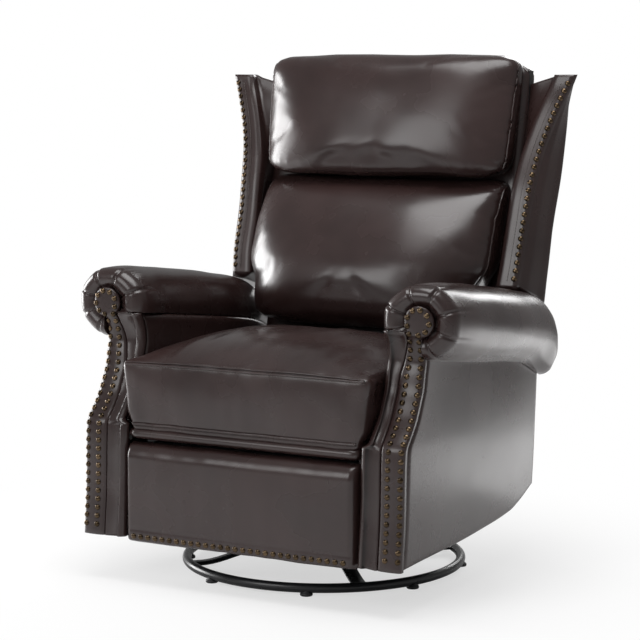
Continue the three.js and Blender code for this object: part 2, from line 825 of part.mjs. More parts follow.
// The arm's trim goes up the inner edge, round the head and down the outer edge
function addArmNails(side, behind) {
  const forward = (z) => {
    const step = nailEdge;
    const slope = (armFrontY(z + step) - armFrontY(z - step)) / (step * 2);
    return new THREE.Vector3(0, -1, slope).normalize();
  };
  const flat = new THREE.Vector3(0, -1, 0);
  const edge = (x, z) => ({ place: new THREE.Vector3(x, armFrontY(z), z), face: forward(z) });
  const heights = armFrontShares.map(([share]) => armBottom + armRise * share);
  const rows = [armNailBottom, ...heights.filter((z) => z > armNailBottom && z < headFoot), headFoot];
  const inner = [[neckStart, 0], [neckMiddle, neckDraw * half], [headFoot, neckDraw]];
  const outer = [[neckTop, 0], [headFoot, nailEdge * half]];
  const path = rows.map((z) => edge(armNailInner + along(inner, z), z));
  for (const [x, z] of headArc(headNailRadius, headStartAngle, headEndAngle, headSteps)) {
    path.push({ place: new THREE.Vector3(x, -headFront, z), face: flat });
  }
  path.push(...rows.reverse().map((z) => edge(armNailOuter + along(outer, z), z)));
  add(`arm_nail_strip_${side.name}`, cut(nailStrip(path), behind), antiqueBrass, side);
}

// Footrest linkage. A place in the linkage is y and z, with forward as -y.
function swing(from, length, angle) {
  return [from[0] - length * Math.cos(angle * degree), from[1] + length * Math.sin(angle * degree)];
}

const pivotAC = swing(drivePivot, linkALength, linkAAngle);
const pivotBD = swing(guidePivot, linkBLength, linkBAngle);
const pivotBC = swing(guidePivot, linkBCross, linkBAngle);
const pivotBoardC = swing(pivotAC, linkCLength, linkCAngle);
const pivotBoardD = swing(pivotBoardC, boardPivotSpacing, boardPivotAngle);

// The inner and outer face of a layer of links, counted from the mechanism plate
function layer(number) {
  const outer = plateInner - linkGap - (number - 1) * (linkThickness + linkGap);
  return [outer - linkThickness, outer];
}

function flatLink(ends, number) {
  const [inner, outer] = layer(number);
  const radius = linkWidth * half;
  const [[y0, z0], [y1, z1]] = ends;
  const length = Math.hypot(y1 - y0, z1 - z0);
  const [ny, nz] = [(-(z1 - z0) / length) * radius, ((y1 - y0) / length) * radius];
  const middle = slab('x', [
    [y0 + ny, z0 + nz], [y0 - ny, z0 - nz], [y1 - ny, z1 - nz], [y1 + ny, z1 + nz],
  ], inner, outer);
  return join(middle, bar('x', radius, inner, outer, y0, z0), bar('x', radius, inner, outer, y1, z1));
}

function pin(place, from, to) {
  return bar('x', linkPin * half, Math.min(from, to), Math.max(from, to), ...place, pinSides);
}

const [layerA, layerC, layerB, layerD] = [1, 2, 3, 4];

function pinHole(place, clearance = pinGap) {
  return bar('x', linkPin * half + clearance, layer(layerD)[0] - overrun, plateInner, ...place);
}

function addLinkage() {
  const mid = (number) => (layer(number)[0] + layer(number)[1]) * half;
  for (const side of sides) {
    const linkA = cut(
      join(flatLink([drivePivot, pivotAC], layerA), pin(drivePivot, mid(layerA), plateOuter)), pinHole(pivotAC),
    );
    const linkC = cut(
      join(flatLink([pivotAC, pivotBoardC], layerC), pin(pivotAC, mid(layerC), layer(layerA)[1])),
      pinHole(pivotBC, openPivotGap), pinHole(pivotBoardC),
    );
    const linkB = cut(
      join(
        flatLink([guidePivot, pivotBD], layerB), pin(guidePivot, mid(layerB), plateOuter),
        pin(pivotBC, mid(layerB), layer(layerC)[1]),
      ),
      pinHole(pivotBD),
    );
    const linkD = cut(
      join(flatLink([pivotBD, pivotBoardD], layerD), pin(pivotBD, mid(layerD), layer(layerB)[1])),
      pinHole(pivotBoardD, openPivotGap),
    );
    add(`footrest_link_a_${side.name}`, linkA, steel, side);
    add(`footrest_link_b_${side.name}`, linkB, steel, side);
    add(`footrest_link_c_${side.name}`, linkC, steel, side);
    add(`footrest_link_d_${side.name}`, linkD, steel, side);
  }
  const tubeReach = layer(layerA)[0] - gap;
  add('footrest_drive_tube', bar('x', driveTubeDiameter * half, -tubeReach, tubeReach, ...drivePivot), steel);
  const leverInner = armOuter + leverReach;
  const tip = swing(drivePivot, leverLength, leverAngle);
  const [y0, z0] = drivePivot;
  const [ra, rb] = [leverHubDiameter * half, leverTipDiameter * half];
  const [ny, nz] = [Math.sin(leverAngle * degree), Math.cos(leverAngle * degree)];
  const lever = join(
    slab('x', [
      [y0 + ny * ra, z0 + nz * ra], [y0 - ny * ra, z0 - nz * ra],
      [tip[0] - ny * rb, tip[1] - nz * rb], [tip[0] + ny * rb, tip[1] + nz * rb],
    ], leverInner, leverInner + leverThickness),
    bar('x', ra, leverInner, leverInner + leverThickness, y0, z0),
    bar('x', rb, leverInner, leverInner + leverThickness, ...tip),
    bar('x', leverShaft * half, plateOuter + gap, leverInner + leverThickness * half, y0, z0),
  );
  add('release_lever', lever, plastic, sides[1]);
}

// Footrest
const footrestSwellPower = 12;

function addFootrest() {
  const back = -footrestFront + footrestPadThickness;
  const height = footrestTop - footrestBottom;
  const rings = footrestFrontShares.map(([share, swell, wide]) => cushionRing(
    footrestHalfWidth * wide, back - footrestPadThickness * swell, back, footrestBottom + height * share,
    footrestSwellPower,
  ));
  const pad = loft(rings);
  add('footrest_pad', pad, leather);
  const boardFront = back + gap;
  const boardBack = boardFront + footrestBoardThickness;
  const boardHalf = footrestHalfWidth - footrestBoardInset;
  const boardFoot = footrestBottom + footrestBoardInset;
  const boardTop = footrestTop - footrestBoardInset;
  add('footrest_board', box(-boardHalf, boardHalf, boardFront, boardBack, boardFoot, boardTop), plywood);
  const railFront = boardBack + gap;
  const railMiddle = (pivotBoardC[1] + pivotBoardD[1]) * half;
  const [inner, outer] = layer(layerB);
  let rail = box(
    -outer, outer, railFront, railFront + mountRailThickness, railMiddle - mountRailHeight * half,
    railMiddle + mountRailHeight * half,
  );
  const ear = mountBracketWidth * half;
  for (const side of sides) {
    const low = pivotBoardD[1] - ear;
    const high = pivotBoardC[1] + linkWidth * half;
    const bracketOutline = [
      [railFront, low], [pivotBoardD[0], low], [pivotBoardD[0] + ear, pivotBoardD[1]],
      [pivotBoardC[0] + ear, pivotBoardC[1]], [pivotBoardC[0], high], [railFront, high],
    ];
    const span = side.sign > 0 ? [inner, outer] : [-outer, -inner];
    rail = rail.add(slab('x', bracketOutline, ...span));
    const pinC = [layer(layerC)[1], (inner + outer) * half].map((x) => x * side.sign);
    const pinD = [layer(layerD)[0], (inner + outer) * half].map((x) => x * side.sign);
    rail = join(rail, pin(pivotBoardC, ...pinC), pin(pivotBoardD, ...pinD));
  }
  add('footrest_mount_rail', rail, steel);
  const facing = new THREE.Vector3(0, -1, 0);
  const front = cushionFront(footrestHalfWidth, -footrestFront, back, footrestNailHeight, footrestSwellPower);
  const depths = front.map((point) => [point.x, point.y]);
  const places = [-footrestNailEnd, ...front.map((point) => point.x), footrestNailEnd];
  const path = places.filter((x) => Math.abs(x) <= footrestNailEnd).map((x) => ({
    place: new THREE.Vector3(x, along(depths, x), footrestNailHeight), face: facing,
  }));
  add('footrest_nail_strip', cut(nailStrip(path), pad.translate([0, -gap, 0])), antiqueBrass);
}

// Seat frame, spring deck and cushion
const seatRailBottom = plateTop + gap;
const seatRailTop = seatRailBottom + seatRailHeight;

function addSeat() {
  const webInner = plateOuter - seatRailThickness;
  const flangeInner = plateOuter - seatRailFlange;
  const flangeBottom = seatRailTop - seatRailThickness;
  const ear = hingeEar * half;
  for (const side of sides) {
    const web = box(webInner, plateOuter, -seatRailFront, seatRailRear, seatRailBottom, seatRailTop);
    const flange = box(flangeInner, plateOuter, -seatRailFront, seatRailRear, flangeBottom, seatRailTop);
    const upright = slab('x', [
      [hingeRear - hingeEar, seatRailBottom], [seatRailRear, seatRailBottom],
      [hingeRear + ear, hingeHeight], [hingeRear - ear, hingeHeight],
    ], webInner, plateOuter);
    const eye = bar('x', ear, webInner, plateOuter, hingeRear, hingeHeight);
    const [from, to] = [webInner - overrun, plateOuter + overrun];
    const hole = bar('x', hingePin * half + pinGap, from, to, hingeRear, hingeHeight);
    add(`seat_side_rail_${side.name}`, cut(join(web, flange, upright, eye), hole), steel, side);
  }
  const crossBottom = seatRailTop + gap;
  const crossTop = seatBottom - gap;
  const between = flangeInner - gap;
  for (const [name, front] of [['front', -seatRailFront], ['rear', seatRear - seatCrossDepth]]) {
    const sill = box(-plateOuter, plateOuter, front, front + seatCrossDepth, crossBottom, crossTop);
    const apronFoot = seatRailBottom + seatRailThickness;
    const apron = box(-between, between, front, front + seatRailThickness, apronFoot, crossTop);
    add(`seat_cross_rail_${name}`, join(sill, apron), steel);
  }
  addDeck((crossBottom + crossTop) * half, flangeInner - deckSwing);
  addSeatCushion();
}

// Sinuous wires from rail to rail, held together by two straight ties
function addDeck(height, reach) {
  const front = -seatRailFront + seatCrossDepth + gap;
  const rear = seatRear - seatCrossDepth - gap;
  const radius = deckWire * half;
  let deck = null;
  for (let row = 0; row < deckRows; row += 1) {
    const x = THREE.MathUtils.lerp(-reach, reach, row / (deckRows - 1));
    const points = [];
    for (let i = 0; i <= deckLoops; i += 1) {
      const y = THREE.MathUtils.lerp(front, rear, i / deckLoops);
      const swingTo = (i % 2 ? 1 : -1) * deckSwing * half;
      if (i > 0) points.push(new THREE.Vector3(x - swingTo, y, height));
      if (i < deckLoops) points.push(new THREE.Vector3(x + swingTo, y, height));
    }
    const wire = wireThrough(points, radius);
    deck = deck ? deck.add(wire) : wire;
  }
  for (const share of deckTieShares) {
    const y = THREE.MathUtils.lerp(front, rear, share);
    const end = reach + deckSwing;
    deck = deck.add(bar('x', deckTieWire * half, -end, end, y, height, wireSides));
  }
  add('seat_spring_deck', deck, steel);
}

// A bent wire through points that lie at one height, with square bends
const wireSides = 6;

function wireThrough(points, radius) {
  const rings = points.map((point, i) => {
    const before = points[Math.max(i - 1, 0)];
    const after = points[Math.min(i + 1, points.length - 1)];
    const a = point.clone().sub(before).normalize();
    const b = after.clone().sub(point).normalize();
    const ahead = a.clone().add(b).normalize();
    const out = new THREE.Vector3(-ahead.y, ahead.x, 0);
    const turn = a.length() > half && b.length() > half ? 1 / Math.max(ahead.dot(b), half) : 1;
    return Array.from({ length: wireSides }, (_, k) => {
      const angle = (k * 360 * degree) / wireSides;
      return point.clone().addScaledVector(out, radius * turn * Math.cos(angle))
        .add(new THREE.Vector3(0, 0, radius * Math.sin(angle)));
    });
  });
  return loft(rings);
}

function addSeatCushion() {
  const length = seatFront + seatRear;
  const rings = seatTopShares.map(([share, rise], i) => {
    const y = -seatFront + length * share;
    const end = i === 0 || i === seatTopShares.length - 1;
    const top = seatSeam + (seatCrown - seatSeam) * rise;
    const flared = y < armFrontY(seatSeam - (seatCrown - seatSeam)) - seatRound;
    return seatRing(y, top, flared, end);
  });
  add('seat_cushion', loft(rings), leather);
}

// A section of the seat cushion across the chair: flat below, drawn-in sides, a seam and a crown above
function seatRing(y, top, flared, end) {
  const low = seatHalfWidth;
  const wide = armPadInner - seatClearance;
  const flare = flared ? seatFlare : wide;
  const seam = seatSeam;
  const inset = end ? seatRound : 0;
  const side = [
    [low - inset, seatBottom + inset], [low, seatBottom + seatRound * 2 + inset], [low, armLedge],
    [wide - seatRound, armLedge + seatRound * 3], [wide - inset, (armLedge + seam) * half],
    [flare - seatRound, seam - (seatCrown - seam) * half], [flare - inset, seam],
  ];
  const crown = seatCrownShares.map((s) => [flare * s, seam + (top - seam) * (1 - s ** swellPower)]);
  const right = [...side, ...crown];
  const left = right.map(([x, z]) => [-x, z]).reverse();
  return [...right, [0, top], ...left].map(([x, z]) => new THREE.Vector3(x, y, z));
}

// Back: board, outer panel, hinge brackets, cushion, pillow
function backRearY(z) {
  return backRearFoot + backRearSweep * along(backRearShares, (z - backBottom) / (backTop - backBottom));
}

// The upright strip between two depths behind the back's outer surface
function backStrip(near, far, bottom, top) {
  const heights = [bottom];
  for (const [share] of backRearShares) {
    const z = backBottom + (backTop - backBottom) * share;
    if (z > bottom && z < top) heights.push(z);
  }
  heights.push(top);
  const rear = heights.map((z) => [backRearY(z) - near, z]);
  const front = heights.map((z) => [backRearY(z) - far, z]).reverse();
  return [...rear, ...front];
}

const backLowHalfWidth = plateOuter - seatRailThickness - hingeClearance - hingeBracketThickness - gap;

function addBack() {
  const boardNear = backPanelThickness + gap;
  const boardFar = boardNear + backBoardThickness;
  const wide = [
    [-backLowHalfWidth, backBottom - overrun], [backLowHalfWidth, backBottom - overrun],
    [backLowHalfWidth, backStep], [backHalfWidth, backStep], [backHalfWidth, backTop + overrun],
    [-backHalfWidth, backTop + overrun], [-backHalfWidth, backStep], [-backLowHalfWidth, backStep],
  ];
  const window = slab('y', wide, 0, armPanelRear * 2);
  const boardTop = backTop - backPanelThickness;
  const board = slab('x', backStrip(boardNear, boardFar, backBottom, boardTop), -armOuter, armOuter);
  const panel = slab('x', backStrip(0, backPanelThickness, backBottom, backTop), -armOuter, armOuter);
  add('back_frame_board', board.intersect(window), plywood);
  add('back_outer_panel', panel.intersect(window), leather);
  const inner = backLowHalfWidth + gap;
  const outer = inner + hingeBracketThickness;
  const neckRear = backRearY(backBottom) - boardNear;
  const neckHeight = backBottom + hingePin;
  for (const side of sides) {
    const bracket = backStrip(boardNear, boardNear + hingeBracketWidth, backBottom, hingeBracketTop);
    const strip = slab('x', bracket, inner, outer);
    const foot = bar('x', hingeEar * half, inner, outer, hingeRear, hingeHeight);
    const neck = slab('x', [
      [hingeRear - hingeEar * half, hingeHeight], [hingeRear + hingeEar * half, hingeHeight],
      [neckRear, neckHeight], [neckRear - hingeBracketWidth, neckHeight],
    ], inner, outer);
    const hinge = bar('x', hingePin * half, inner, plateOuter, hingeRear, hingeHeight);
    add(`back_hinge_bracket_${side.name}`, join(strip, foot, neck, hinge), steel, side);
  }
  const cushionBack = boardFar + gap;
  const cushionRings = backFrontShares.map(([share, draw], i) => {
    const z = THREE.MathUtils.lerp(backCushionBottom, backCushionTop, share);
    const back = backRearY(z) - cushionBack;
    const ends = i === 0 || i === backFrontShares.length - 1 ? backCushionEndShare : 1;
    const widening = along(backWidthShares, share);
    const halfWidth = THREE.MathUtils.lerp(backCushionLowHalfWidth, backCushionHalfWidth, widening) * ends;
    return cushionRing(halfWidth, back - backCushionDepth * (1 - draw), back, z);
  });
  add('back_cushion', loft(cushionRings), leather);
  const pillowRings = pillowFrontShares.map(([share, draw], i) => {
    const z = THREE.MathUtils.lerp(pillowBottom, pillowTop, share);
    const back = backRearY(z) - cushionBack;
    const ends = i === 0 || i === pillowFrontShares.length - 1 ? pillowEndShare : 1;
    return cushionRing(pillowHalfWidth * ends, back - pillowDepth * (1 - draw * half), back, z);
  });
  add('head_pillow', loft(pillowRings), leather);
}

// Wings: the front edge rises, leans back and flares out at the top
function wingEdge(share) {
  return [
    wingWaist + wingFlare * along(wingFrontShares, share, 2),
    wingFrontFoot + wingFrontSweep * along(wingFrontShares, share, 1),
    THREE.MathUtils.lerp(wingBottom, wingTop, share),
  ];
}

function addWing(side) {
  const drop = wingBottom - backStep + backPanelThickness * 2;
  const rings = wingFrontShares.map(([share]) => {
    const [x, y, z] = wingEdge(share);
    const rearY = backRearY(z) - overrun;
    const rearX = wingRearOuter + wingRearFlare * share;
    const fall = drop * Math.max(0, 1 - share / wingFootShare);
    const inner = backHalfWidth + gap;
    const frontInner = Math.max(inner, x - wingBand);
    const topFall = wingTopFall * share ** wingTopFallPower;
    return [
      [x - wingRound, y, z], [x, y + wingRound, z], [(x + rearX) * half, (y + rearY) * half, z - fall * half],
      [rearX, rearY - wingRound, z - fall], [rearX - wingRound, rearY, z - fall],
      [inner, rearY, z - fall - topFall], [inner, (y + rearY) * half, z - fall * half - topFall],
      [frontInner, y + wingRound * 2, z - topFall * half], [frontInner + wingRound, y, z - topFall * half],
    ].map((p) => new THREE.Vector3(...p));
  });
  add(`wing_${side.name}`, loft(rings), leather, side);
  const path = [];
  const steps = 24;
  for (let i = 0; i <= steps; i += 1) {
    const [x, y, z] = wingEdge(THREE.MathUtils.lerp(wingNailEndShare, 1 - wingNailEndShare, i / steps));
    path.push({ place: new THREE.Vector3(x - wingNailInset, y - gap, z), face: new THREE.Vector3(0, -1, 0) });
  }
  for (let i = 0; i < path.length; i += 1) {
    const before = path[Math.max(i - 1, 0)].place;
    const after = path[Math.min(i + 1, path.length - 1)].place;
    const ahead = after.clone().sub(before).normalize();
    path[i].face = new THREE.Vector3(1, 0, 0).cross(ahead).negate().normalize();
    if (path[i].face.y > 0) path[i].face.negate();
  }
  add(`wing_nail_strip_${side.name}`, nailStrip(path), antiqueBrass, side);
}

addBase();
addSwivel();
addChassis();
for (const side of sides) addArm(side);
addLinkage();
addFootrest();
addSeat();
addBack();
for (const side of sides) addWing(side);

// The origin is on the floor under the middle of the chair
const bounds = new THREE.Box3().setFromObject(chair);
chair.position.y = -(bounds.min.y + bounds.max.y) * half;

export default chair;
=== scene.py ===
"""Looks of a wingback swivel rocker recliner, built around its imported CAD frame.

Sizes are in millimetres in the tables below and become metres in `place`. The sitter faces -Y, and the
sitter's left is +X. Heights start at the floor, and depths at the swivel axis.
"""

import json
import math
from types import SimpleNamespace

import bmesh
import bpy
import numpy as np
from bpy.props import FloatProperty, FloatVectorProperty, IntProperty, PointerProperty
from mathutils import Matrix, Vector, noise
from mathutils.bvhtree import BVHTree
from mathutils.kdtree import KDTree


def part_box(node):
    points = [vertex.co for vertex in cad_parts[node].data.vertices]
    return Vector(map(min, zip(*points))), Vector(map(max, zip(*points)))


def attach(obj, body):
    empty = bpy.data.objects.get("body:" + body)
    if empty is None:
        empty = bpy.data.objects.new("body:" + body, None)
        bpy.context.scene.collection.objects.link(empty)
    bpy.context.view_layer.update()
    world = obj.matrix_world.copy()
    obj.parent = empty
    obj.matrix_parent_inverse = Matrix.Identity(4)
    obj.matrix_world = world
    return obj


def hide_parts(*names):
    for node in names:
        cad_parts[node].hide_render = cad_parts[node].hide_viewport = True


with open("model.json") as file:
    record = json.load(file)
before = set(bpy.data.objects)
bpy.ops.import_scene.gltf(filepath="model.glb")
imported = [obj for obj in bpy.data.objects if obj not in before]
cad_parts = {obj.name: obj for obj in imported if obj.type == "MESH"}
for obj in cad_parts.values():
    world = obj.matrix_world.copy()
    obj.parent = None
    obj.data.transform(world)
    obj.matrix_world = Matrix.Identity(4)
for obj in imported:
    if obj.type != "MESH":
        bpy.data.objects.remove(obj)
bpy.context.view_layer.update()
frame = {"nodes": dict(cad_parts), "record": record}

bl_info = {
    "name": "Wingback Recliner",
    "version": (1, 0, 0),
    "blender": (4, 5, 0),
    "location": "3D View > Sidebar > Recliner",
    "description": "Builds a leather wingback recliner with nailhead trim on its frame",
    "category": "Add Mesh",
}

MM = 0.001
HALF = 0.5
TURN = 2 * math.pi
SIDES = (("left", 1), ("right", -1))
ring_low, ring_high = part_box("base_ring_frame")
AXIS_Y = (ring_low.y + ring_high.y) * HALF

# Sizes of the pieces

GAP = 0.3
MERGE = MM * 0.01
RING = SimpleNamespace(
    radius=285, tube=9.5, foot=5.5, bar_width=30, bar_thickness=6, hub_radius=75, hub_thickness=8,
    hub_top=60, race_radius=55, race_height=5, bolt_circle=64, bolt=6, bolt_height=4,
    glide_radius=12.5, glides=8, arms=4,
)
ARM = SimpleNamespace(
    outer=360, front_inner=310, panel=10, front_panel=12, band_inner=264, band_depth=25,
    pad_inner=277, frame_inner=292, ledge=324, bottom=91, rise=386, near=256, sweep=94, rear=280,
    frame_rear=246, rear_foot=257, rear_foot_height=159, pad_bottom=292, side_round=9, side_belly=9,
    band_round=14, band_back_round=4, pad_round=6,
)
ROLL = SimpleNamespace(
    centre=356, radius=76, front=262, face_rear=240, top=624, drop=224, crease=479, crease_drop=94,
    seat=0.25, full=1.01, inner_swell=0.17, swell_end=150, swell_run=90, rear_taper=0.24,
    taper_start=20, wall_share=0.3,
)
KEYHOLE = SimpleNamespace(
    head_x=354, head_z=552, head_radius=31, nail_radius=24, head_front=272, neck_low=430,
    neck_middle=480, neck_top=515, neck_draw=8, neck_top_draw=18, inner_turn=0.707,
    outer_turn=0.966, round=3.5, edge_back=3, belly=3.2, head_depth=7.6,
)
SEAT = SimpleNamespace(
    bottom=303, front=333, rear=150, half_width=262, seam=447, crown=502, flare=283, wide=275.2,
    round=4, shrink=3, lip_rise=17, lip_back=17, lip_radius=19, lip_height=12.5, lip_end=12,
)
FOOTREST = SimpleNamespace(
    half_width=262, front=350, top=283, bottom=85, pad=45, nail_height=97, nail_end=250,
    seam_rise=14, seam_end=254, side_round=14, top_round=30, foot_round=9, belly=2.5,
)
BACK = SimpleNamespace(
    bottom=378, top=1028, rear_foot=222, sweep=148, panel=10, board=18, half_width=305,
    low_half_width=247, step=556, cushion_low=482, cushion_high=792, cushion_half=289,
    cushion_low_half=263, lining_low_half=271, cushion_depth=190, cushion_corner=20, pillow_low=796,
    pillow_high=1050, pillow_half=304, pillow_low_half=291, pillow_depth=128, pillow_corner=34,
    top_corner=24, round=10, belly=5, lining_round=6, lining_edge=1.5, lining_depth=7,
)
WING = SimpleNamespace(
    bottom=575, top=1010, front_foot=193, sweep=128, waist=346, flare=70, band=52, front_inner=294,
    rear_outer=375, rear_flare=19, round=8, fall=33, foot_share=0.25, nail_inset=10, seam_inset=21,
)
NAIL = SimpleNamespace(inner=327, outer=354, low=99)
VALANCE = SimpleNamespace(half_width=291.7, front=246.5, rear=261.5, low=165, high=380, round=7)
LEVER = SimpleNamespace(
    inner=368, thickness=9, length=118, hub=17, tip=13, shaft=6, angle=-18, y=-145.3, z=226,
    shaft_inner=256.3, end_share=0.28,
)
GRAIN = SimpleNamespace(
    turn=(0.61, 0.74, 0.52), fold_scale=0.16, fold_width=0.12, fold_depth=8.0, fine_scale=0.3,
    tone_scale=7.0,
)
CLOTH = SimpleNamespace(quality=4, bending=0.4, frames=20, calm_steps=7, hold=1.6)
PLEAT = SimpleNamespace(turn=0.35, flat=0.45, seam_width=0.055, seam_depth=0.04, seam_back=3.5, rings=6)
STITCH = SimpleNamespace(length=4.6, pitch=6.5, thickness=0.75)

# Share tables: each row starts with its place along the length

ARM_FRONT = [(0, 1), (0.26, 0.904), (0.5, 0.872), (0.585, 0.842), (0.61, 0.79), (0.63, 0.72), (0.663, 0.6),
             (0.728, 0.404), (0.798, 0.255), (0.865, 0.128), (0.938, 0.064), (1, 0), (1.05, 0.02),
             (1.09, 0.07), (1.115, 0.12), (1.135, 0.17), (1.3, 0.17)]
ARM_BOTTOM = [(0, 0), (0.2, 0.085), (0.39, 0.113), (0.647, 0.239), (0.8, 0.366), (0.89, 0.592), (1, 1)]
ROLL_TOP = [(0, 0), (0.085, 0.009), (0.3, 0.0625), (0.467, 0.112), (0.668, 0.183), (0.878, 0.272),
            (0.926, 0.33), (0.967, 0.464), (0.991, 0.687), (1, 0.93)]
CREASE = [(0, 0), (0.461, 0.34), (0.799, 0.585), (1, 1)]
BACK_REAR = [(0, 0), (0.065, 0.122), (0.234, 0.324), (0.48, 0.6), (0.726, 0.865), (0.95, 0.98), (1, 1)]
BACK_FRONT = [(0, 0.5), (0.03, 0.3), (0.1, 0.1), (0.22, 0), (0.4, 0.03), (0.6, 0.13), (0.8, 0.3),
              (0.92, 0.46), (1, 0.78)]
PILLOW_FRONT = [(0, 0.15), (0.03, 0.05), (0.1, 0.01), (0.2, 0), (0.42, 0.05), (0.62, 0.13), (0.8, 0.23),
                (0.92, 0.32), (1, 0.46)]
WING_FRONT = [(0, 0, 0), (0.12, 0.1, 0.06), (0.27, 0.26, 0.08), (0.43, 0.4, 0.13), (0.58, 0.57, 0.22),
              (0.73, 0.73, 0.43), (0.88, 0.88, 0.73), (0.95, 0.96, 0.9), (1, 1, 1)]
BACK_WIDTH = [(0, 0), (0.25, 0), (0.45, 1), (1, 1)]
SEAT_TOP = [(0, 0.06), (0.03, 0.2), (0.1, 0.55), (0.22, 0.86), (0.42, 1), (0.62, 0.93), (0.8, 0.66),
            (0.92, 0.44), (1, 0.2)]
# How far out and how far forward the pleated face of the roll reaches, from its middle to its edge
ROLL_FACE = [(0.36, 257), (0.42, 258.5), (0.5, 265), (0.6, 269.5), (0.7, 271), (0.8, 269.5), (0.89, 264.5),
             (0.95, 258), (0.985, 251), (1, 244)]
# The share of a back cushion's depth at which its side seam lies, and how boxy its front is
CUSHION_SEAM = 0.44
CUSHION_BULGE = 3.0
WHITE = (1, 1, 1, 1)
CAMERA = SimpleNamespace(
    lens=117.18, sensor=36, x=2.0909, y=-3.7119, z=1.0118, target_x=-0.0094, target_z=0.5078,
)


class Curve:
    """A smooth curve through the rows of a share table, with no overshoot between them."""

    def __init__(self, table, column=1):
        self.places = np.array([row[0] for row in table], float)
        self.values = np.array([row[column] for row in table], float)
        steps = np.diff(self.values) / np.diff(self.places)
        self.slopes = np.zeros(len(table))
        self.slopes[0], self.slopes[-1] = steps[0], steps[-1]
        for i in range(1, len(table) - 1):
            before, after = steps[i - 1], steps[i]
            if before * after > 0:
                self.slopes[i] = 2 * before * after / (before + after)

    def __call__(self, t):
        t = min(max(t, self.places[0]), self.places[-1])
        i = min(int(np.searchsorted(self.places, t, side="right")) - 1, len(self.places) - 2)
        run = self.places[i + 1] - self.places[i]
        u = (t - self.places[i]) / run
        low, high = self.values[i], self.values[i + 1]
        start, end = self.slopes[i] * run, self.slopes[i + 1] * run
        return float(
            low * (1 + 2 * u) * (1 - u) ** 2 + high * (3 - 2 * u) * u * u
            + start * u * (1 - u) ** 2 - end * u * u * (1 - u)
        )


arm_front_share, arm_bottom_share = Curve(ARM_FRONT), Curve(ARM_BOTTOM)
roll_top_share, crease_share = Curve(ROLL_TOP), Curve(CREASE)
back_rear_share, back_width_share = Curve(BACK_REAR), Curve(BACK_WIDTH)


def place(x, y, z):
    """A point in metres in the row frame, from millimetres from the swivel axis and the floor."""
    return Vector((x * MM, y * MM + AXIS_Y, z * MM))


def mix(low, high, share):
    return low + (high - low) * share


def ease(share):
    """Goes smoothly from 0 to 1 as share does."""
    share = min(max(share, 0), 1)
    return share * share * (3 - 2 * share)


def spread(count, low=0.0, high=1.0):
    return [mix(low, high, i / (count - 1)) for i in range(count)]


# Outlines that more than one piece follows


def arm_front_y(z):
    return -(ARM.near + ARM.sweep * arm_front_share((z - ARM.bottom) / ARM.rise))


def arm_bottom_z(y):
    foot = ARM.near + ARM.sweep
    return mix(ARM.bottom, ARM.rear_foot_height, arm_bottom_share((y + foot) / (foot + ARM.rear_foot)))


def roll_top_z(y):
    return ROLL.top - ROLL.drop * roll_top_share((y + ROLL.front) / (ROLL.front + ARM.rear))


def crease_z(y):
    return ROLL.crease - ROLL.crease_drop * crease_share((y + ROLL.front) / (ROLL.front + ARM.rear))


def roll_seat_z(y):
    radius = (roll_top_z(y) - crease_z(y)) * HALF
    return crease_z(y) + radius * (1 - ROLL.seat)


def back_rear_y(z):
    return BACK.rear_foot + BACK.sweep * back_rear_share((z - BACK.bottom) / (BACK.top - BACK.bottom))


def top_cut(z):
    """How far the rounded top corners of the back draw in at a height."""
    return BACK.top_corner * (1 - rounding(BACK.top - z, BACK.top_corner))


def back_half(z, low_half):
    """Half the width of the back at a height, with its step above the arms and its rounded top."""
    return mix(low_half, BACK.half_width, ease((z - BACK.step + 4) / 14)) - top_cut(z)


def cushion_back_y(z):
    return back_rear_y(z) - (BACK.panel + GAP + BACK.board + GAP)


def wing_edge(share):
    """The outer front edge of the left wing, from its foot to its top."""
    return (
        WING.waist + WING.flare * wing_out_share(share),
        WING.front_foot + WING.sweep * wing_back_share(share),
        mix(WING.bottom, WING.top, share),
    )


wing_back_share, wing_out_share = Curve(WING_FRONT, 1), Curve(WING_FRONT, 2)


# Settings that a user would change


def amount(name, text, default, low=0.0, high=1.0, **more):
    return FloatProperty(name=name, description=text, default=default, min=low, max=high, **more)


def colour(name, text, default):
    return FloatVectorProperty(
        name=name, description=text, default=default, size=3, min=0, max=1, subtype="COLOR"
    )


class LeatherSettings(bpy.types.PropertyGroup):
    shell: colour("Shell Leather", "Colour of the arms, wings and panels", (0.026, 0.0135, 0.0125))
    cushion: colour("Cushion Leather", "Colour of the seat, back and footrest", (0.028, 0.0145, 0.0135))
    roughness: amount("Roughness", "How dull the leather is", 0.26)
    grain: amount("Grain", "Width of one pebble of the grain", 0.0016, 0.0004, 0.01, unit="LENGTH")
    grain_depth: amount("Grain Depth", "Depth of the grain", 0.00012, 0.0, 0.002, unit="LENGTH")


class CushionSettings(bpy.types.PropertyGroup):
    pressure: amount("Pressure", "Pressure that fills the cushions", 2.5, 0.0, 20.0)
    slack: amount("Slack", "Share of spare leather in a cushion's cover", 0.0, 0.0, 0.2)
    reach: amount("Reach", "The most that a cushion may swell", 0.008, 0.0, 0.06, unit="LENGTH")
    gather: amount("Gathers", "Depth of the folds at the side seams", 0.0065, 0.0, 0.02, unit="LENGTH")
    voxel: amount("Mesh Size", "Size of the cushions' faces", 0.0075, 0.003, 0.02, unit="LENGTH")


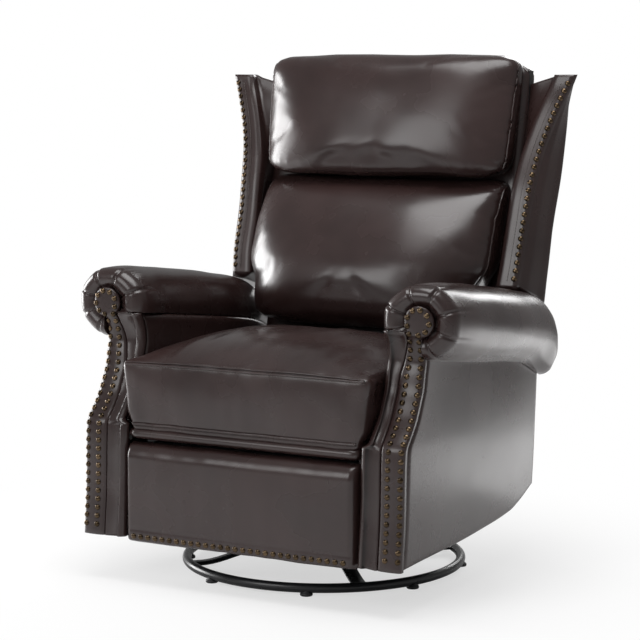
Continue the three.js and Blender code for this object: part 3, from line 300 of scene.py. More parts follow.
class TrimSettings(bpy.types.PropertyGroup):
    diameter: amount("Nail Width", "Width of a nailhead", 0.0118, 0.004, 0.03, unit="LENGTH")
    height: amount("Nail Height", "Height of a nailhead's dome", 0.0034, 0.001, 0.01, unit="LENGTH")
    pitch: amount("Nail Pitch", "Distance from nail to nail", 0.017, 0.008, 0.05, unit="LENGTH")
    brass: colour("Brass", "Colour of the nails", (0.12, 0.083, 0.05))
    thread: colour("Thread", "Colour of the sewing thread", (0.115, 0.095, 0.088))
    pleats: IntProperty(
        name="Pleats", description="Pleats round the front of each roll", default=8, min=3, max=24
    )


class StageSettings(bpy.types.PropertyGroup):
    floor: colour("Floor", "Colour of the floor", (0.86, 0.86, 0.86))
    key: amount("Key Light", "Power of the large lamp in front on the left", 48.0, 0.0, 1000.0)
    fill: amount("Side Light", "Power of the lamp in the floor behind on the right", 6.0, 0.0, 1000.0)
    rim: amount("Edge Light", "Power of the lamp on the left", 95.0, 0.0, 1000.0)
    back: amount("Back Light", "Power of the lamp high behind the chair", 55.0, 0.0, 1000.0)
    top: amount("Top Light", "Power of the lamp overhead", 45.0, 0.0, 1000.0)
    room: amount("Room Light", "Strength of the even light from all round", 0.35, 0.0, 5.0)
    sheen: amount("Reflected White", "Strength of the white that the leather reflects", 0.3, 0.0, 5.0)


# Mesh helpers


def build(name, points, faces):
    """A closed mesh object with its faces turned outwards."""
    mesh = bpy.data.meshes.new(name)
    mesh.from_pydata([tuple(point) for point in points], [], faces)
    tidy = bmesh.new()
    tidy.from_mesh(mesh)
    bmesh.ops.remove_doubles(tidy, verts=tidy.verts, dist=MERGE)
    bmesh.ops.dissolve_degenerate(tidy, dist=MERGE, edges=tidy.edges)
    bmesh.ops.recalc_face_normals(tidy, faces=tidy.faces)
    tidy.to_mesh(mesh)
    tidy.free()
    mesh.shade_smooth()
    return show(name, mesh)


def show(name, data):
    """A new object in the scene."""
    obj = bpy.data.objects.new(name, data)
    bpy.context.scene.collection.objects.link(obj)
    return obj


def loft_faces(rows, across, first=0):
    """Faces of a skin over closed rings, with a fan on each end whose middle points come last."""
    faces = []
    for row in range(rows - 1):
        for i in range(across):
            j = (i + 1) % across
            a, b = first + row * across, first + (row + 1) * across
            faces.append((a + i, a + j, b + j, b + i))
    for end, middle in ((0, rows * across), ((rows - 1) * across, rows * across + 1)):
        for i in range(across):
            faces.append((first + middle, first + end + i, first + end + (i + 1) % across))
    return faces


def loft_points(rings):
    points = [point for ring in rings for point in ring]
    for ring in (rings[0], rings[-1]):
        points.append(sum(ring, Vector()) / len(ring))
    return points


def loft(name, rings):
    return build(name, loft_points(rings), loft_faces(len(rings), len(rings[0])))


def shells(name, parts):
    """One object from several closed skins, each a list of rings."""
    points, faces = [], []
    for rings in parts:
        faces += loft_faces(len(rings), len(rings[0]), len(points))
        points += loft_points(rings)
    return build(name, points, faces)


def two_grids(rows, across, pair_at):
    """Two grids of points. pair_at gives a point of each at u across and v up."""
    pairs = [[pair_at(u, v) for u in spread(across)] for v in spread(rows)]
    return [[[pair[side] for pair in row] for row in pairs] for side in (0, 1)]


def slab_between(name, front, back):
    """A closed pad between two grids of the same size."""
    rows, across = len(front), len(front[0])
    points = [p for row in front for p in row] + [p for row in back for p in row]
    other = rows * across
    faces = []
    for i in range(rows - 1):
        for j in range(across - 1):
            a, b = i * across + j, (i + 1) * across + j
            faces.append((a, a + 1, b + 1, b))
            faces.append((other + a, other + b, other + b + 1, other + a + 1))
    rim = [(0, j) for j in range(across)] + [(i, across - 1) for i in range(1, rows)]
    rim += [(rows - 1, j) for j in range(across - 2, -1, -1)] + [(i, 0) for i in range(rows - 2, 0, -1)]
    for (i, j), (k, m) in zip(rim, rim[1:] + rim[:1]):
        a, b = i * across + j, k * across + m
        faces.append((a, b, other + b, other + a))
    return build(name, points, faces)


def patch(bottom, top, low_side, high_side, u, v):
    """A flat point at u across and v up inside four edges, each a function of 0 to 1."""
    point = []
    for k in range(2):
        ruled = mix(bottom(u)[k], top(u)[k], v) + mix(low_side(v)[k], high_side(v)[k], u)
        corners = mix(mix(bottom(0)[k], bottom(1)[k], u), mix(top(0)[k], top(1)[k], u), v)
        point.append(ruled - corners)
    return point


def rounding(distance, radius):
    """The share of full height at a distance from a rounded edge."""
    rest = 1 - min(max(distance / radius, 0), 1)
    return math.sqrt(max(0.0, 1 - rest * rest))


def rim_distance(u, v, wide, high):
    return min(u * wide, (1 - u) * wide, v * high, (1 - v) * high)


def tube_rings(points, radius, sides):
    """Rings round a path, all closed with a rounded end."""
    rings = []
    up = Vector((0, 0, 1))
    last = len(points) - 1
    for i, point in enumerate(points):
        ahead = (points[min(i + 1, last)] - points[max(i - 1, 0)]).normalized()
        out = ahead.cross(up)
        if out.length < HALF * HALF:
            out = ahead.cross(Vector((0, 1, 0)))
        out.normalize()
        side = ahead.cross(out).normalized()
        size = radius * (HALF if i in (0, last) else 1)
        rings.append([point + around(out, side, k / sides) * size for k in range(sides)])
    return rings


def around(out, side, share):
    """The direction at a share of a full turn from one direction towards another."""
    return out * math.cos(TURN * share) + side * math.sin(TURN * share)


def turned(profile, centre, axis, sides=24):
    """Rings of a turned shape: profile rows are radius and place along the axis."""
    axis = Vector(axis).normalized()
    out = axis.orthogonal().normalized()
    side = axis.cross(out)
    return [
        [centre + axis * along + around(out, side, k / sides) * radius for k in range(sides)]
        for radius, along in profile
    ]


def lengths_along(points):
    """The length of a path from its start to each of its points."""
    lengths = [0.0]
    for a, b in zip(points, points[1:]):
        lengths.append(lengths[-1] + (b - a).length)
    return lengths


def stops_along(lengths, targets):
    """The piece of a path that each target length falls on, and the share of that piece before it."""
    stops, i = [], 0
    for target in targets:
        while i < len(lengths) - 2 and lengths[i + 1] < target:
            i += 1
        run = lengths[i + 1] - lengths[i] or 1
        stops.append((i, (target - lengths[i]) / run))
    return stops


def resample(points, step):
    """The same path with its points a step apart."""
    lengths = lengths_along(points)
    targets = spread(max(2, round(lengths[-1] / step) + 1), 0, lengths[-1])
    return [points[i].lerp(points[i + 1], share) for i, share in stops_along(lengths, targets)]


def surface_of(obj):
    mesh = obj.data
    return BVHTree.FromPolygons([v.co for v in mesh.vertices], [tuple(p.vertices) for p in mesh.polygons])


def on_surface(obj, points, lift=0.0):
    """The points moved to the nearest place on a piece, and the direction that it faces there."""
    tree = surface_of(obj)
    spots = []
    for point in points:
        spot, facing = tree.find_nearest(point)[:2]
        spots.append((spot + facing * lift, facing))
    return spots


def points_of(obj):
    """The points of a piece and the way the surface faces at each, as lists."""
    return [(v.co.copy(), v.normal.copy()) for v in obj.data.vertices]


def move_points(obj, points):
    obj.data.vertices.foreach_set("co", [value for point in points for value in point])
    obj.data.update()


def line_tree(points):
    tree = KDTree(len(points))
    for i, point in enumerate(points):
        tree.insert(point, i)
    tree.balance()
    return tree


def nearness(lines, point, width):
    """1 on the lines, falling to 0 at a width from them."""
    return max(0.0, 1 - lines.find(point)[2] / width)


def ruffle(obj, height, size, seed, stretch=(1, 1, 1)):
    """Moves the surface in and out a little, as leather lies over soft filling."""
    shift = Vector((seed, seed * HALF, -seed))
    moved = []
    for co, out in points_of(obj):
        spot = Vector([value / (size * longer) for value, longer in zip(co, stretch)])
        moved.append(co + out * (height * noise.noise(spot + shift)))
    move_points(obj, moved)


def crease_along(obj, points, depth, width):
    """Draws the surface in along a line, as a seam does."""
    tree = line_tree(points)
    moved = []
    for co, out in points_of(obj):
        distance = tree.find(co)[2]
        moved.append(co - out * (depth * math.exp(-((distance / width) ** 2))))
    move_points(obj, moved)


def gather_along(obj, points, depth, reach, period, seed, weight):
    """Presses short folds into the surface square to a seam. weight gives their depth along the seam."""
    tree = line_tree(points)
    step = (points[1] - points[0]).length
    moved = []
    for co, out in points_of(obj):
        i, distance = tree.find(co)[1:]
        if distance < reach * 1.6:
            along = i * step / period
            own_reach = reach * (1 + 0.6 * noise.noise(Vector((along * 0.7, seed, 0))))
            fade = max(0.0, 1 - distance / own_reach)
            drift = distance / period * HALF * noise.noise(Vector((along * 0.4, seed, 9)))
            phase = along + drift + 0.8 * noise.noise(Vector((along * HALF, seed, 4)))
            wave = 1 - abs(math.sin(math.pi * phase)) ** 0.7
            strength = 0.65 + 0.7 * noise.noise(Vector((along * 0.3, seed, 2)))
            co = co - out * (depth * weight(i / (len(points) - 1)) * strength * wave * fade * fade)
        moved.append(co)
    move_points(obj, moved)


def remesh(obj, voxel, smooth_steps):
    """Gives a closed piece even faces and soft edges."""
    modifier = obj.modifiers.new("even", "REMESH")
    modifier.mode = "VOXEL"
    modifier.voxel_size = voxel
    soften = obj.modifiers.new("soften", "SMOOTH")
    soften.factor = HALF
    soften.iterations = smooth_steps
    bake(obj)


def bake(obj):
    """Puts the effect of the modifiers into the mesh and removes them."""
    bpy.context.view_layer.update()
    graph = bpy.context.evaluated_depsgraph_get()
    mesh = bpy.data.meshes.new_from_object(obj.evaluated_get(graph))
    old = obj.data
    obj.modifiers.clear()
    obj.data = mesh
    bpy.data.meshes.remove(old)
    mesh.name = obj.name
    mesh.shade_smooth()


def swell(obj, held, reach, slack, pressure):
    """Fills a closed cushion under cloth pressure. Held points stay, and none moves further than reach."""
    scene = bpy.context.scene
    before = [vertex.co.copy() for vertex in obj.data.vertices]
    group = obj.vertex_groups.new(name="held")
    for i, point in enumerate(before):
        weight = held(point)
        if weight > 0:
            group.add([i], weight, "REPLACE")
    cloth = obj.modifiers.new("swell", "CLOTH")
    cloth.settings.quality = CLOTH.quality
    cloth.settings.use_pressure = True
    cloth.settings.uniform_pressure_force = pressure
    cloth.settings.effector_weights.gravity = 0
    cloth.settings.shrink_min = -slack
    cloth.settings.vertex_group_mass = group.name
    cloth.settings.bending_stiffness = CLOTH.bending
    cloth.point_cache.frame_end = CLOTH.frames
    for number in range(1, CLOTH.frames + 1):
        scene.frame_set(number)
    graph = bpy.context.evaluated_depsgraph_get()
    swollen = obj.evaluated_get(graph).data
    moved = [vertex.co.copy() for vertex in swollen.vertices]
    obj.modifiers.clear()
    obj.vertex_groups.clear()
    scene.frame_set(1)
    capped = []
    for start, end in zip(before, moved):
        step = end - start
        share = step.length / reach
        capped.append(start + step * (math.tanh(share) / max(share, 1e-6)))
    move_points(obj, capped)


def refine(obj):
    """Calms the surface and halves its faces."""
    calm = obj.modifiers.new("calm", "SMOOTH")
    calm.factor = HALF
    calm.iterations = CLOTH.calm_steps
    modifier = obj.modifiers.new("fine", "SUBSURF")
    modifier.levels = 1
    bake(obj)


def keep_within(obj, limit):
    """Moves the points that pass a limit back to it. limit takes and returns a point."""
    move_points(obj, [limit(vertex.co) for vertex in obj.data.vertices])


# Seams


def stitch_row(obj, points):
    """Short threads along a line on a piece."""
    length, thickness = STITCH.length * MM, STITCH.thickness * MM
    spots = on_surface(obj, resample(points, STITCH.pitch * MM))
    parts = []
    for (a, out), (b, _) in zip(spots, spots[1:]):
        if (b - a).length < length * HALF:
            continue
        along, rise = (b - a).normalized() * length, out * thickness
        path = [a - rise * HALF, a + along * 0.2 + rise * 0.6, a + along * 0.8 + rise * 0.6,
                a + along - rise * HALF]
        parts.append(tube_rings(path, thickness, sides=5))
    return parts


def welt_along(obj, points, radius, lift):
    """A thin cord that lies along a line on a piece."""
    return tube_rings([spot for spot, _ in on_surface(obj, points, lift)], radius, sides=10)


# Materials


def add_node(tree, kind, x, y, **settings):
    node = tree.nodes.new(kind)
    node.location = (x, y)
    for key, value in settings.items():
        setattr(node, key, value)
    return node


def set_inputs(node, values):
    for label, value in values.items():
        node.inputs[label].default_value = value


def new_group(name, inputs, outputs):
    tree = bpy.data.node_groups.new(name, "ShaderNodeTree")
    for label, kind, value in inputs:
        socket = tree.interface.new_socket(name=label, in_out="INPUT", socket_type=kind)
        if value is not None:
            socket.default_value = value
    for label, kind in outputs:
        tree.interface.new_socket(name=label, in_out="OUTPUT", socket_type=kind)
    return tree, add_node(tree, "NodeGroupInput", -900, 0), add_node(tree, "NodeGroupOutput", 700, 0)


def feed(tree, value, socket):
    """Sets a socket to a number, or links another socket to it."""
    if isinstance(value, (int, float)):
        socket.default_value = value
    else:
        tree.links.new(value, socket)


def math_node(tree, operation, x, y, first, second):
    node = add_node(tree, "ShaderNodeMath", x, y, operation=operation)
    feed(tree, first, node.inputs[0])
    feed(tree, second, node.inputs[1])
    return node.outputs[0]


def texture(tree, kind, x, y, vector, scale, values=None, **settings):
    node = add_node(tree, kind, x, y, **settings)
    feed(tree, vector, node.inputs["Vector"])
    feed(tree, scale, node.inputs["Scale"])
    set_inputs(node, values or {})
    return node


def leather_group():
    """Grain: pebbles and fine creases as a height, broad uneven toning as a mask, and the pebbles as a
    mask for painted shade in the grain's valleys.
    """
    if "leather_grain" in bpy.data.node_groups:
        return bpy.data.node_groups["leather_grain"]
    tree, start, end = new_group(
        "leather_grain",
        [("Vector", "NodeSocketVector", None), ("Pebble Scale", "NodeSocketFloat", 600.0),
         ("Crease Share", "NodeSocketFloat", 0.5)],
        [("Height", "NodeSocketFloat"), ("Tone", "NodeSocketFloat"), ("Valleys", "NodeSocketFloat")],
    )
    vector, scale = start.outputs["Vector"], start.outputs["Pebble Scale"]
    turned_grain = add_node(tree, "ShaderNodeMapping", -760, 120)
    turned_grain.inputs["Rotation"].default_value = GRAIN.turn
    tree.links.new(vector, turned_grain.inputs["Vector"])
    grain = turned_grain.outputs["Vector"]
    fold_scale = math_node(tree, "MULTIPLY", -760, -140, scale, GRAIN.fold_scale)
    fine_scale = math_node(tree, "MULTIPLY", -760, -420, scale, GRAIN.fine_scale)
    pebbles = texture(tree, "ShaderNodeTexVoronoi", -600, 200, grain, scale, feature="F1")
    folds = texture(
        tree, "ShaderNodeTexVoronoi", -600, -100, grain, fold_scale, feature="DISTANCE_TO_EDGE"
    )
    fine = texture(tree, "ShaderNodeTexNoise", -600, -400, vector, fine_scale, {"Detail": 5.0})
    broad = texture(tree, "ShaderNodeTexNoise", -600, -700, vector, GRAIN.tone_scale, {"Detail": 4.0})
    domes = math_node(tree, "SUBTRACT", -380, 200, 1.0, pebbles.outputs["Distance"])
    edges = math_node(tree, "MINIMUM", -380, -100, folds.outputs["Distance"], GRAIN.fold_width)
    edges = math_node(tree, "MULTIPLY", -200, -100, edges, GRAIN.fold_depth)
    creases = math_node(tree, "MULTIPLY", -20, -100, edges, start.outputs["Crease Share"])
    height = math_node(tree, "ADD", 160, 100, domes, creases)
    height = math_node(tree, "ADD", 340, 100, height, fine.outputs["Fac"])
    tree.links.new(height, end.inputs["Height"])
    tree.links.new(broad.outputs["Fac"], end.inputs["Tone"])
    tree.links.new(domes, end.inputs["Valleys"])
    return tree


def metal_group():
    """Wear: fine scratches as a height, and smudges as a mask."""
    if "metal_wear" in bpy.data.node_groups:
        return bpy.data.node_groups["metal_wear"]
    tree, start, end = new_group(
        "metal_wear",
        [("Vector", "NodeSocketVector", None), ("Scratch Scale", "NodeSocketFloat", 120.0)],
        [("Height", "NodeSocketFloat"), ("Smudge", "NodeSocketFloat")],
    )
    vector, scale = start.outputs["Vector"], start.outputs["Scratch Scale"]
    scratches = texture(
        tree, "ShaderNodeTexNoise", -500, 100, vector, scale, {"Detail": 8.0, "Distortion": 1.4}
    )
    smudge = texture(tree, "ShaderNodeTexNoise", -500, -200, vector, 22.0, {"Detail": 6.0})
    tree.links.new(scratches.outputs["Fac"], end.inputs["Height"])
    tree.links.new(smudge.outputs["Fac"], end.inputs["Smudge"])
    return tree


def new_material(name, group, values):
    """A material with the effect group already fed by the piece's own coordinates."""
    material = bpy.data.materials.new(name)
    material.use_nodes = True
    tree = material.node_tree
    shader = tree.nodes["Principled BSDF"]
    where = add_node(tree, "ShaderNodeTexCoord", -1100, 0)
    effect = add_node(tree, "ShaderNodeGroup", -850, 0, node_tree=group)
    tree.links.new(where.outputs["Object"], effect.inputs["Vector"])
    set_inputs(effect, values)
    return material, tree, shader, effect


def map_range(tree, mask, x, y, from_low, from_high, to_low=0.0, to_high=1.0):
    """A mask with its range stretched to another."""
    span = add_node(tree, "ShaderNodeMapRange", x, y)
    set_inputs(span, {"From Min": from_low, "From Max": from_high, "To Min": to_low, "To Max": to_high})
    tree.links.new(mask, span.inputs["Value"])
    return span.outputs["Result"]


def blend_colours(tree, mask, low, high, x, y, from_low, from_high):
    """A colour between two that follows a mask."""
    node = add_node(tree, "ShaderNodeMix", x, y, data_type="RGBA")
    tree.links.new(map_range(tree, mask, x - 200, y, from_low, from_high), node.inputs["Factor"])
    node.inputs[6].default_value = (*low, 1)
    node.inputs[7].default_value = (*high, 1)
    return node.outputs[2]


def follow(tree, mask, socket, low, high, x, y):
    """Feeds a socket with values between two that follow a mask."""
    tree.links.new(map_range(tree, mask, x, y, 0.3, 0.7, low, high), socket)


def bump(tree, shader, height, distance, strength=0.14):
    node = add_node(tree, "ShaderNodeBump", -250, -350)
    set_inputs(node, {"Strength": strength, "Distance": distance})
    tree.links.new(height, node.inputs["Height"])
    tree.links.new(node.outputs["Normal"], shader.inputs["Normal"])


def leather_material(name, tint, creases):
    """Satin espresso leather: pebbled grain, fine creases, uneven dye, painted shade in the grain's
    valleys and a soft top coat.
    """
    if name in bpy.data.materials:
        return bpy.data.materials[name]
    look = bpy.context.scene.recliner_leather
    material, tree, shader, effect = new_material(
        name, leather_group(), {"Pebble Scale": 1 / look.grain, "Crease Share": creases}
    )
    tone = effect.outputs["Tone"]
    dark, light = ([value * share for value in tint] for share in (0.78, 1.22))
    dyed = blend_colours(tree, tone, dark, light, -500, 200, 0.3, 0.7)
    node = add_node(tree, "ShaderNodeMix", -250, 200, data_type="RGBA", blend_type="MULTIPLY")
    node.inputs["Factor"].default_value = 0.12
    tree.links.new(dyed, node.inputs[6])
    # Painted shade: the colour is darkened in the grain's valleys, between the pebbles.
    valley_shade_mask = effect.outputs["Valleys"]
    painted_valley_shade = blend_colours(tree, valley_shade_mask, (0.45, 0.42, 0.4), (1, 1, 1), -500, 450, 0.2, 0.8)
    tree.links.new(painted_valley_shade, node.inputs[7])
    tree.links.new(node.outputs[2], shader.inputs["Base Color"])
    dull = shader.inputs["Roughness"]
    follow(tree, tone, dull, look.roughness - 0.04, look.roughness + 0.06, -500, -50)
    set_inputs(shader, {"Specular IOR Level": 0.5, "Coat Weight": 0.18, "Coat Roughness": 0.32})
    bump(tree, shader, effect.outputs["Height"], look.grain_depth)
    return material


def metal_material(name, colours, roughness, metallic, scratch, depth=0.0001):
    """A metal or plastic finish with smudges and scratches. Colours and roughness are low and high."""
    if name in bpy.data.materials:
        return bpy.data.materials[name]
    material, tree, shader, effect = new_material(name, metal_group(), {"Scratch Scale": scratch})
    tint = blend_colours(tree, effect.outputs["Smudge"], *colours, -400, 200, 0.35, 0.65)
    tree.links.new(tint, shader.inputs["Base Color"])
    follow(tree, effect.outputs["Smudge"], shader.inputs["Roughness"], *roughness, -400, -50)
    shader.inputs["Metallic"].default_value = metallic
    bump(tree, shader, effect.outputs["Height"], depth, 0.4)
    return material


def brass_material():
    """Antique brass: mottled at random between burnished and dark."""
    tint = bpy.context.scene.recliner_trim.brass
    dark = [value * 0.35 for value in tint]
    return metal_material("antique_brass", (dark, tint), (0.13, 0.24), 1.0, 300.0, depth=0.00003)


def thread_material():
    """Sewing thread, some shades lighter than the leather."""
    tint = bpy.context.scene.recliner_trim.thread
    dark = [value * 0.7 for value in tint]
    return metal_material("thread", (dark, tint), (0.5, 0.7), 0.0, 900.0, depth=0.0002)


# Name, two colours, two roughnesses, how metallic, how fine the scratches are, and their depth
PLAIN_FINISHES = {
    "black_steel": (
        "black_enamel", ((0.008, 0.008, 0.009), (0.016, 0.016, 0.018)), (0.24, 0.36), 0.0, 260.0,
    ),
    "black_plastic": (
        "black_nylon", ((0.012, 0.012, 0.013), (0.024, 0.024, 0.026)), (0.42, 0.58), 0.0, 500.0,
    ),
    "mechanism_steel": (
        "dark_steel", ((0.055, 0.056, 0.06), (0.11, 0.112, 0.118)), (0.34, 0.5), 1.0, 90.0,
    ),
    "plywood": (
        "black_lining", ((0.010, 0.0095, 0.0095), (0.020, 0.019, 0.019)), (0.75, 0.9), 0.0, 700.0, 0.0003,
    ),
}


def finish_for(slot):
    look = bpy.context.scene.recliner_leather
    if slot == "shell_leather":
        return leather_material("shell_leather_look", look.shell, 0.12)
    if slot == "cushion_leather":
        return leather_material("cushion_leather_look", look.cushion, 0.2)
    if slot == "nailhead_brass":
        return brass_material()
    return metal_material(*PLAIN_FINISHES[slot])


def dress(obj, body, slot, *nodes, fill=None, material=None):
    """Gives a piece its material, its body and the CAD nodes that it stands for."""
    obj.data.materials.clear()
    obj.data.materials.append(material or finish_for(slot))
    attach(obj, body)
    if nodes:
        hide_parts(*nodes)
    return obj


def dress_threads(name, parts, body, slot):
    return dress(shells(name, parts), body, slot, material=thread_material())


# Base


class BuildBase(bpy.types.Operator):
    """Build the floor ring, its cross arms, hub, bolts and glides"""

    bl_idname = "recliner.build_base"
    bl_label = "Build Base"

    def execute(self, context):
        middle = RING.foot + RING.tube
        turns, sides, up = 144, 20, Vector((0, 0, 1))
        points, faces = [], []
        for i in range(turns):
            out = around(Vector((1, 0, 0)), Vector((0, 1, 0)), i / turns)
            centre = place(0, 0, middle) + out * RING.radius * MM
            points += [centre + around(out, up, k / sides) * RING.tube * MM for k in range(sides)]
            for k in range(sides):
                a, b, m = i * sides, (i + 1) % turns * sides, (k + 1) % sides
                faces.append((a + k, b + k, b + m, a + m))
        for rings in self.fittings():
            faces += loft_faces(len(rings), len(rings[0]), len(points))
            points += loft_points(rings)
        dress(build("floor_ring", points, faces), "base", "black_steel", "base_ring_frame")
        self.glides(middle)
        return {"FINISHED"}

    def fittings(self):
        """The cross arms with their bolts, the hub plate and the swivel race."""
        middle, foot = RING.hub_top - RING.hub_thickness * HALF, RING.foot + RING.tube
        halfway = mix(middle, foot, HALF)
        drop = Curve([(0, middle), (0.12, middle), (HALF, halfway), (0.9, foot), (1, foot)])
        start = RING.hub_radius - RING.bar_width
        wide, high = RING.bar_width * HALF, RING.bar_thickness * HALF
        edge = RING.bar_thickness * 0.35
        corners = [(-wide + edge, -high), (wide - edge, -high), (wide, -high + edge), (wide, high - edge)]
        corners += [(-across, -up) for across, up in corners]
        bolt, tall = RING.bolt * MM, RING.bolt_height * MM
        parts = []
        for number in range(RING.arms):
            turn = TURN * (number + HALF) / RING.arms
            out = Vector((math.cos(turn), math.sin(turn), 0))
            side = Vector((-out.y, out.x, 0))
            rows = []
            for share in spread(17):
                centre = place(0, 0, drop(share)) + out * mix(start, RING.radius, share) * MM
                rows.append([centre + (side * a + Vector((0, 0, b))) * MM for a, b in corners])
            parts.append(rows)
            spot = place(0, 0, RING.hub_top) + out * RING.bolt_circle * MM
            head = [(bolt, -tall), (bolt, tall * 0.7), (bolt * 0.85, tall)]
            parts.append(turned(head, spot, (0, 0, 1), 6))
        low, high = RING.hub_top - RING.hub_thickness, RING.hub_top
        race_top = high + RING.race_height
        plate = [(RING.hub_radius - 1, low), (RING.hub_radius, low + 1), (RING.hub_radius, high - 1),
                 (RING.hub_radius - 1, high)]
        race = [(RING.race_radius, low), (RING.race_radius, race_top - 1),
                (RING.race_radius - 1, race_top), (RING.race_radius * HALF, race_top)]
        for profile in (plate, race):
            rows = [(radius * MM, height * MM) for radius, height in profile]
            parts.append(turned(rows, place(0, 0, 0), (0, 0, 1), 64))
        return parts

    def glides(self, middle):
        """Nylon pegs that hold the ring off the floor, each with a rounded foot and a cupped top."""
        radius = RING.glide_radius
        profile = [(radius * 0.9, 0), (radius, 1.2), (radius, 4.5), (radius * 0.92, 6),
                   (radius * 0.7, 7.5), (radius * 0.66, middle * 0.95)]
        for number in range(RING.glides):
            turn = TURN * (number + HALF) / RING.glides
            spot = place(RING.radius * math.sin(turn), -RING.radius * math.cos(turn), 0)
            rows = [(r * MM, z * MM) for r, z in profile]
            name = f"floor_glide_{number + 1}"
            glide = shells(name, [turned(rows, spot, (0, 0, 1), 28)])
            dress(glide, "base", "black_plastic", f"base_glide_{number + 1}")


# Arms


neck_inner = Curve([
    (ARM.bottom, ARM.front_inner), (KEYHOLE.neck_low, ARM.front_inner),
    (KEYHOLE.neck_middle, ARM.front_inner + KEYHOLE.neck_draw),
    (KEYHOLE.neck_top, ARM.front_inner + KEYHOLE.neck_top_draw),
])


def keyhole_width(z):
    """The inner and outer x of the keyhole panel at a height."""
    rise = (z - KEYHOLE.head_z) / KEYHOLE.head_radius
    swing = KEYHOLE.head_radius * math.sqrt(max(0.0, 1 - rise * rise))
    low_inner = KEYHOLE.head_z - KEYHOLE.head_radius * KEYHOLE.inner_turn
    low_outer = KEYHOLE.head_z - KEYHOLE.head_radius * KEYHOLE.outer_turn
    inner = neck_inner(min(z, KEYHOLE.neck_top))
    if z > low_inner:
        inner = KEYHOLE.head_x - swing
    elif z > KEYHOLE.neck_top:
        share = (z - KEYHOLE.neck_top) / (low_inner - KEYHOLE.neck_top)
        inner = mix(inner, KEYHOLE.head_x - KEYHOLE.head_radius * KEYHOLE.inner_turn, share)
    outer = ARM.outer if z < low_outer else KEYHOLE.head_x + swing
    return inner, outer


def inside_one(value):
    return min(0.999, max(-0.999, value))


def roll_section(y, share, pleat, count, pleats):
    """One section of the roll: round, flat where it rests on the frame, and puffed at the pleats."""
    low = crease_z(y)
    radius = (roll_top_z(y) - low) * HALF
    middle = low + radius
    wide = ROLL.radius * min(1, math.sqrt(radius / ROLL.radius) * ROLL.full)
    taper = ease((y - ROLL.taper_start) / (ARM.rear - ROLL.taper_start * 2))
    outward = wide * (1 - ROLL.rear_taper * taper)
    inward = wide * (1 + ROLL.inner_swell * ease((-ROLL.swell_end - y) / ROLL.swell_run))
    seat = low + radius * (1 - ROLL.seat)
    wall = ARM.outer + GAP
    first = 1.5 * math.pi + math.asin(inside_one((wall - ROLL.centre) / (outward * share)))
    second = math.pi - math.asin(inside_one((seat - middle) / (radius * share)))
    edge_x = ROLL.centre + inward * share * math.cos(second)
    edge_z = middle + radius * share * math.sin(first)
    facet = math.pi / pleats
    points = []
    for i in range(count):
        angle = TURN * (i + HALF) / count
        off_middle = (angle - PLEAT.turn) % (facet * 2) - facet
        seam = math.exp(-(((facet - abs(off_middle)) / PLEAT.seam_width) ** 2))
        chord = math.cos(facet) / math.cos(off_middle)
        size = share * mix(1, chord, PLEAT.flat * pleat) * (1 - PLEAT.seam_depth * pleat * seam)
        x = ROLL.centre + (outward if math.cos(angle) > 0 else inward) * size * math.cos(angle)
        z = middle + radius * size * math.sin(angle)
        if x < wall and z < seat and second < angle < first:
            along = (first - angle) / (first - second)
            if along < ROLL.wall_share:
                x, z = wall, mix(edge_z, seat, along / ROLL.wall_share)
            else:
                x, z = mix(wall, edge_x, (along - ROLL.wall_share) / (1 - ROLL.wall_share)), seat
        points.append((x, y + PLEAT.seam_back * pleat * seam, z))
    return points


def round_corner(edge, front, radius, count):
    """Points round a front corner of a band. The radius is negative on the band's outer side."""
    angles = spread(count, math.pi * HALF, 0)
    return [(edge + radius * (1 - math.sin(a)), front + abs(radius) * (1 - math.cos(a))) for a in angles]


